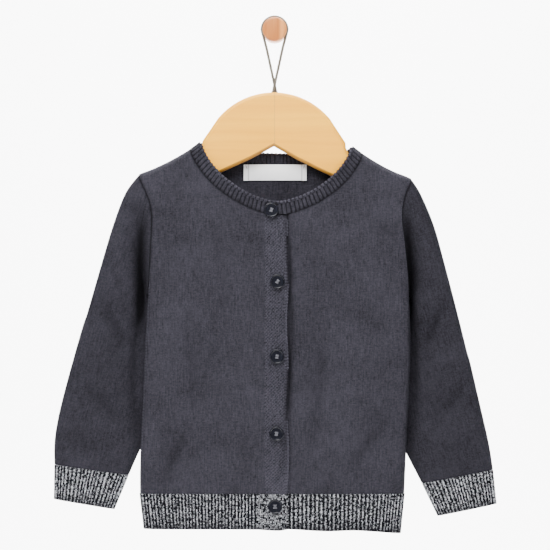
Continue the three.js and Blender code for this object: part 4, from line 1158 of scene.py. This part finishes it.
def turned_button():
    """A disc made from a cylinder, with a raised rim, a sunk middle and four holes"""
    thick = BUTTON["thick"]
    clear_selection()
    bpy.ops.mesh.primitive_cylinder_add(
        vertices=BUTTON["sides"], radius=BUTTON["radius"] * MM, depth=thick * MM,
        rotation=(math.pi / 2, 0, 0))
    piece = bpy.context.object
    piece.name = "button pattern"
    bpy.ops.object.transform_apply(location=True, rotation=True, scale=True)
    bpy.ops.object.mode_set(mode="EDIT")
    bpy.ops.mesh.select_mode(type="FACE")
    bpy.ops.mesh.select_all(action="DESELECT")
    bpy.ops.object.mode_set(mode="OBJECT")
    for face in piece.data.polygons:
        face.select = face.normal.y < -BUTTON_FACE
    bpy.ops.object.mode_set(mode="EDIT")
    bpy.ops.mesh.inset(thickness=BUTTON["rim"] * MM)
    bpy.ops.mesh.inset(thickness=BUTTON["slope"] * MM, depth=-BUTTON["sunk"] * MM)
    bpy.ops.object.mode_set(mode="OBJECT")
    apply_modifier(piece, "BEVEL", width=BUTTON["round"] * MM, segments=4, limit_method="ANGLE",
                   angle_limit=math.radians(30))
    for dx, dz in ((1, 1), (1, -1), (-1, 1), (-1, -1)):
        clear_selection()
        bpy.ops.mesh.primitive_cylinder_add(
            vertices=BUTTON["hole_sides"], radius=BUTTON["hole"] * MM, depth=thick * 3 * MM,
            location=(dx * BUTTON["spread"] * MM, 0, dz * BUTTON["spread"] * MM),
            rotation=(math.pi / 2, 0, 0))
        drill = bpy.context.object
        apply_modifier(piece, "BOOLEAN", operation="DIFFERENCE", object=drill, solver="EXACT")
        bpy.data.objects.remove(drill)
    apply_modifier(piece, "BEVEL", width=BUTTON["hole_round"] * MM, segments=2,
                   limit_method="ANGLE", angle_limit=math.radians(40))
    floor = (BUTTON["sunk"] - thick / 2 - BUTTON["floor_room"]) * MM
    set_mark(piece, "sunk", [float(floor < vert.co.y < 0) for vert in piece.data.vertices])
    return piece


def sewing_stitches(name):
    """Thread through the four holes: two bars of doubled stitches sunk into the button"""
    spread = BUTTON["spread"]
    face = BUTTON["sunk"] - BUTTON["thick"] / 2
    routes = []
    for row in (-1, 1):
        for strand in THREAD["strands"]:
            z = row * (spread * THREAD["rows"] + strand)
            route = []
            for step in range(THREAD["steps"] + 1):
                share = step / THREAD["steps"]
                lift = THREAD["rise"] * (math.sin(math.pi * share) ** 0.5 - (share in (0.0, 1.0)))
                x = spread * (2 * share - 1)
                route.append(Vector((x, face - lift, z * (1 + THREAD["fan"] * strand))) * MM)
            routes.append(route)
    return tube(name, routes, THREAD["radius"] * MM, 6)


class CARDIGAN_OT_label(bpy.types.Operator):
    """Makes the bare woven label and the stitches at its corners"""

    bl_idname = "cardigan.label"
    bl_label = "Label"

    def execute(self, context):
        piece = copy_of_node("label", "woven_label")
        apply_modifier(piece, "BEVEL", width=LABEL["round"] * MM, segments=2,
                       limit_method="ANGLE", angle_limit=math.radians(50))
        low, high = (Vector(corner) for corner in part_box("label"))
        ends = ((low.x, 1), (high.x, -1))
        folds = []
        for end, way in ends:
            fold = new_piece("folded end", piece.data.copy())
            edit_whole(fold)
            bpy.ops.mesh.bisect(
                plane_co=(end + way * LABEL["fold"] * MM, 0, 0), plane_no=(way, 0, 0),
                use_fill=True, clear_outer=True)
            bpy.ops.mesh.select_all(action="SELECT")
            bpy.ops.transform.translate(value=(0, -LABEL["back"] * MM, -LABEL["drop"] * MM))
            bpy.ops.object.mode_set(mode="OBJECT")
            folds.append(fold)
        make_active(piece)
        for fold in folds:
            fold.select_set(True)
        bpy.ops.object.join()
        cloth_map(piece)
        finish_piece(piece, satin_finish(), ("label",), 40.0)
        routes = [label_stitch(end, way, low.y, high.z, step) for end, way in ends for step in range(3)]
        stitches = tube("label_stitches", routes, LABEL_STITCH["radius"] * MM, 6)
        finish_piece(stitches, thread_finish("label thread", LABEL_THREAD, "label_satin"))
        return {"FINISHED"}


def label_stitch(end, way, face, top, step):
    """One short stitch at an end of the label, bowed out from its face"""
    stitch = LABEL_STITCH
    x = end + way * (stitch["in"] + stitch["in_step"] * step) * MM
    y = face - stitch["back"] * MM
    z = top - (stitch["down"] + stitch["down_step"] * step) * MM
    bowed = y - stitch["bow"] * MM
    length = stitch["length"] * MM
    return [Vector((x, y, z)), Vector((x, bowed, z - length * 5 / 14)),
            Vector((x, bowed, z - length * 9 / 14)), Vector((x, y, z - length))]


class CARDIGAN_OT_hanger(bpy.types.Operator):
    """Rounds the hanger and the peg and gives them their woods"""

    bl_idname = "cardigan.hanger"
    bl_label = "Hanger and peg"

    def execute(self, context):
        colours = context.scene.cardigan_colours
        wood = wood_finish("honey wood", "hanger_wood", colours.wood, HANGER_WOOD)
        peg = wood_finish("turned beech", "peg_wood", colours.peg, PEG_WOOD)
        for node, name, finish, width in (
            ("hanger", "wooden_hanger", wood, HANGER_ROUND),
            ("wall_peg", "turned_peg", peg, PEG_ROUND),
        ):
            piece = copy_of_node(node, name)
            edit_whole(piece)
            bpy.ops.mesh.dissolve_limited(angle_limit=math.radians(1.0))
            bpy.ops.object.mode_set(mode="OBJECT")
            apply_modifier(piece, "BEVEL", width=width * MM, segments=3, limit_method="ANGLE",
                           angle_limit=math.radians(20))
            # How far each point faces down, for the painted shade on the wood's underside
            set_mark(piece, "under", [-vert.normal.z for vert in piece.data.vertices])
            finish_piece(piece, finish, (node,), 25.0)
        return {"FINISHED"}


class CARDIGAN_OT_string(bpy.types.Operator):
    """Lays a twisted string from the hanger over the peg and back"""

    bl_idname = "cardigan.string"
    bl_label = "String"

    def execute(self, context):
        colour = context.scene.cardigan_colours.string
        twist = context.scene.cardigan_sizes.string_twist
        path = string_path()
        lengths = lengths_along(path)
        plies = []
        for ply in range(PLIES):
            route = []
            for place, point in enumerate(path):
                way = heading(path, place)
                side = way.cross(Vector((0, 1, 0))).normalized()
                angle = math.tau * (lengths[place] / twist + ply / PLIES)
                out = side * math.cos(angle) + way.cross(side) * math.sin(angle)
                route.append(point + out * PLY_SPREAD * MM)
            plies.append(route)
        piece = tube("twisted_string", plies, PLY * MM, 7)
        finish_piece(piece, string_finish(colour), ("hanger_string",))
        return {"FINISHED"}


def string_path(steps=260):
    """The same route as the string's solid: up, across itself, over the peg and down"""
    loop, cross = PEG["loop"], STRING["cross_z"]
    half, end = STRING["end_half"], STRING["end_z"]
    apart, end_apart = STRING["cross_y"], STRING["end_y"]
    tangent = math.asin(loop / -cross)
    points = [(-half, -end_apart, end), (-half, -end_apart, end + 5),
              (-half * 0.55, -(apart + end_apart) / 2, cross - 5.5), (0, -apart, cross)]
    for step in (1, 2):
        share = step / 3
        points.append((share * loop * math.cos(tangent), -apart * (1 - share), cross * (1 - share)))
    for step in range(11):
        angle = -tangent + (math.pi + 2 * tangent) * step / 10
        points.append((loop * math.cos(angle), 0, loop * math.sin(angle)))
    points += [(-x, -y, z) for x, y, z in points[5::-1]]
    points = [Vector((x, y + PEG["centre_y"], z)) * MM for x, y, z in points]
    path = []
    spans = len(points) - 1
    for step in range(steps + 1):
        at = min(spans - 1e-6, spans * step / steps)
        i, t = int(at), at - int(at)
        p0, p1 = points[max(0, i - 1)], points[i]
        p2, p3 = points[i + 1], points[min(spans, i + 2)]
        path.append(0.5 * ((2 * p1) + (p2 - p0) * t + (2 * p0 - 5 * p1 + 4 * p2 - p3) * t * t
                           + (3 * p1 - p0 - 3 * p2 + p3) * t ** 3))
    return path


# Camera: the photo's frame is 484 mm wide at the cloth
VIEW = {"distance": 2.5, "sensor": 36.0, "frame_width": 0.484, "x": 0.00035, "z": -0.2162}
# Floor that turns up into a backdrop, in metres
FLOOR = {"size": 9, "z": -0.9, "wall": 6, "bend": 1.2, "mottle": 3.0,
         "paint": (0.93, 0.93, 0.93), "pale": (0.96, 0.96, 0.96)}
# Square lamps, in metres and watts, with what they point at
LAMPS = [
    {"name": "key", "at": (-0.38, -1.25, 1.0), "size": 0.9, "power": 56.0, "aim": (0, 0, -0.25)},
    {"name": "fill", "at": (1.0, -2.2, 0.3), "size": 1.2, "power": 9.0, "aim": (0, 0, -0.25)},
    {"name": "top", "at": (0.0, -0.5, 1.3), "size": 1.2, "power": 32.0, "aim": (0, 0, -0.25)},
    {"name": "wash", "at": (0.0, 1.6, 1.9), "size": 2.6, "power": 1100.0, "aim": (0, 3.5, -0.25)},
]
SKY_POWER = 0.42


class CARDIGAN_OT_stage(bpy.types.Operator):
    """Sets a pale floor and backdrop, soft lights and the camera"""

    bl_idname = "cardigan.stage"
    bl_label = "Stage"

    def execute(self, context):
        self.build_floor()
        for row in LAMPS:
            lamp = bpy.data.lights.new(row["name"], "AREA")
            lamp.energy = row["power"]
            lamp.size = row["size"]
            holder = new_piece(row["name"], lamp)
            holder.location = row["at"]
            aim = Vector(row["aim"]) - Vector(row["at"])
            holder.rotation_euler = aim.to_track_quat("-Z", "Y").to_euler()
        world = bpy.data.worlds.new("studio")
        world.use_nodes = True
        world.node_tree.nodes["Background"].inputs["Color"].default_value = (1, 1, 1, 1)
        world.node_tree.nodes["Background"].inputs["Strength"].default_value = SKY_POWER
        context.scene.world = world
        camera = bpy.data.cameras.new("camera")
        camera.sensor_width = VIEW["sensor"]
        camera.lens = VIEW["sensor"] * VIEW["distance"] / VIEW["frame_width"]
        holder = new_piece("camera", camera)
        holder.location = (VIEW["x"], -VIEW["distance"] + MID_Y * MM, VIEW["z"])
        holder.rotation_euler = (math.pi / 2, 0, 0)
        context.scene.camera = holder
        return {"FINISHED"}

    def build_floor(self):
        """Makes the floor and turns its far edge up into the backdrop"""
        clear_selection()
        bpy.ops.mesh.primitive_plane_add(size=FLOOR["size"], location=(0, 0, FLOOR["z"]))
        floor = bpy.context.object
        floor.name = "pale_floor"
        bpy.ops.object.mode_set(mode="EDIT")
        bpy.ops.mesh.select_all(action="DESELECT")
        bpy.ops.object.mode_set(mode="OBJECT")
        for edge in floor.data.edges:
            edge.select = min(floor.data.vertices[i].co.y for i in edge.vertices) > 0
        bpy.ops.object.mode_set(mode="EDIT")
        bpy.ops.mesh.select_mode(type="EDGE")
        bpy.ops.mesh.extrude_region_move(TRANSFORM_OT_translate={"value": (0, 0, FLOOR["wall"])})
        bpy.ops.object.mode_set(mode="OBJECT")
        apply_modifier(floor, "BEVEL", width=FLOOR["bend"], segments=12)
        make_active(floor)
        bpy.ops.object.shade_smooth()
        bpy.ops.object.transform_apply(location=True, rotation=True, scale=True)
        paint = Finish("pale paint", "")
        mottle = paint.noise(paint.place(), FLOOR["mottle"])
        paint.done(paint.blend(mottle, FLOOR["paint"], FLOOR["pale"]), 0.9)
        floor.data.materials.append(paint.material)


class CARDIGAN_PT_panel(bpy.types.Panel):
    """Lists the pieces and their sizes"""

    bl_idname = "CARDIGAN_PT_panel"
    bl_label = "Baby Cardigan"
    bl_space_type = "VIEW_3D"
    bl_region_type = "UI"
    bl_category = "Cardigan"

    def draw(self, context):
        sizes, colours = context.scene.cardigan_sizes, context.scene.cardigan_colours
        for group in (sizes, colours):
            for key in group.bl_rna.properties.keys():
                if key not in {"rna_type", "name"}:
                    self.layout.prop(group, key)
        for step in STEPS:
            self.layout.operator(step.bl_idname)


STEPS = [
    CARDIGAN_OT_stage, CARDIGAN_OT_panels, CARDIGAN_OT_sleeves, CARDIGAN_OT_ribs,
    CARDIGAN_OT_neck_edge, CARDIGAN_OT_seams, CARDIGAN_OT_buttons, CARDIGAN_OT_label,
    CARDIGAN_OT_hanger, CARDIGAN_OT_string,
]
CLASSES = [CardiganSizes, CardiganColours, *STEPS, CARDIGAN_PT_panel]


def register():
    for item in CLASSES:
        bpy.utils.register_class(item)
    bpy.types.Scene.cardigan_sizes = bpy.props.PointerProperty(type=CardiganSizes)
    bpy.types.Scene.cardigan_colours = bpy.props.PointerProperty(type=CardiganColours)


def unregister():
    del bpy.types.Scene.cardigan_colours
    del bpy.types.Scene.cardigan_sizes
    for item in reversed(CLASSES):
        bpy.utils.unregister_class(item)


def main():
    register()
    bpy.ops.cardigan.stage()
    bpy.ops.cardigan.panels()
    bpy.ops.cardigan.sleeves()
    bpy.ops.cardigan.ribs()
    bpy.ops.cardigan.neck_edge()
    bpy.ops.cardigan.seams()
    bpy.ops.cardigan.buttons()
    bpy.ops.cardigan.label()
    bpy.ops.cardigan.hanger()
    bpy.ops.cardigan.string()


if __name__ == "__main__":
    main()
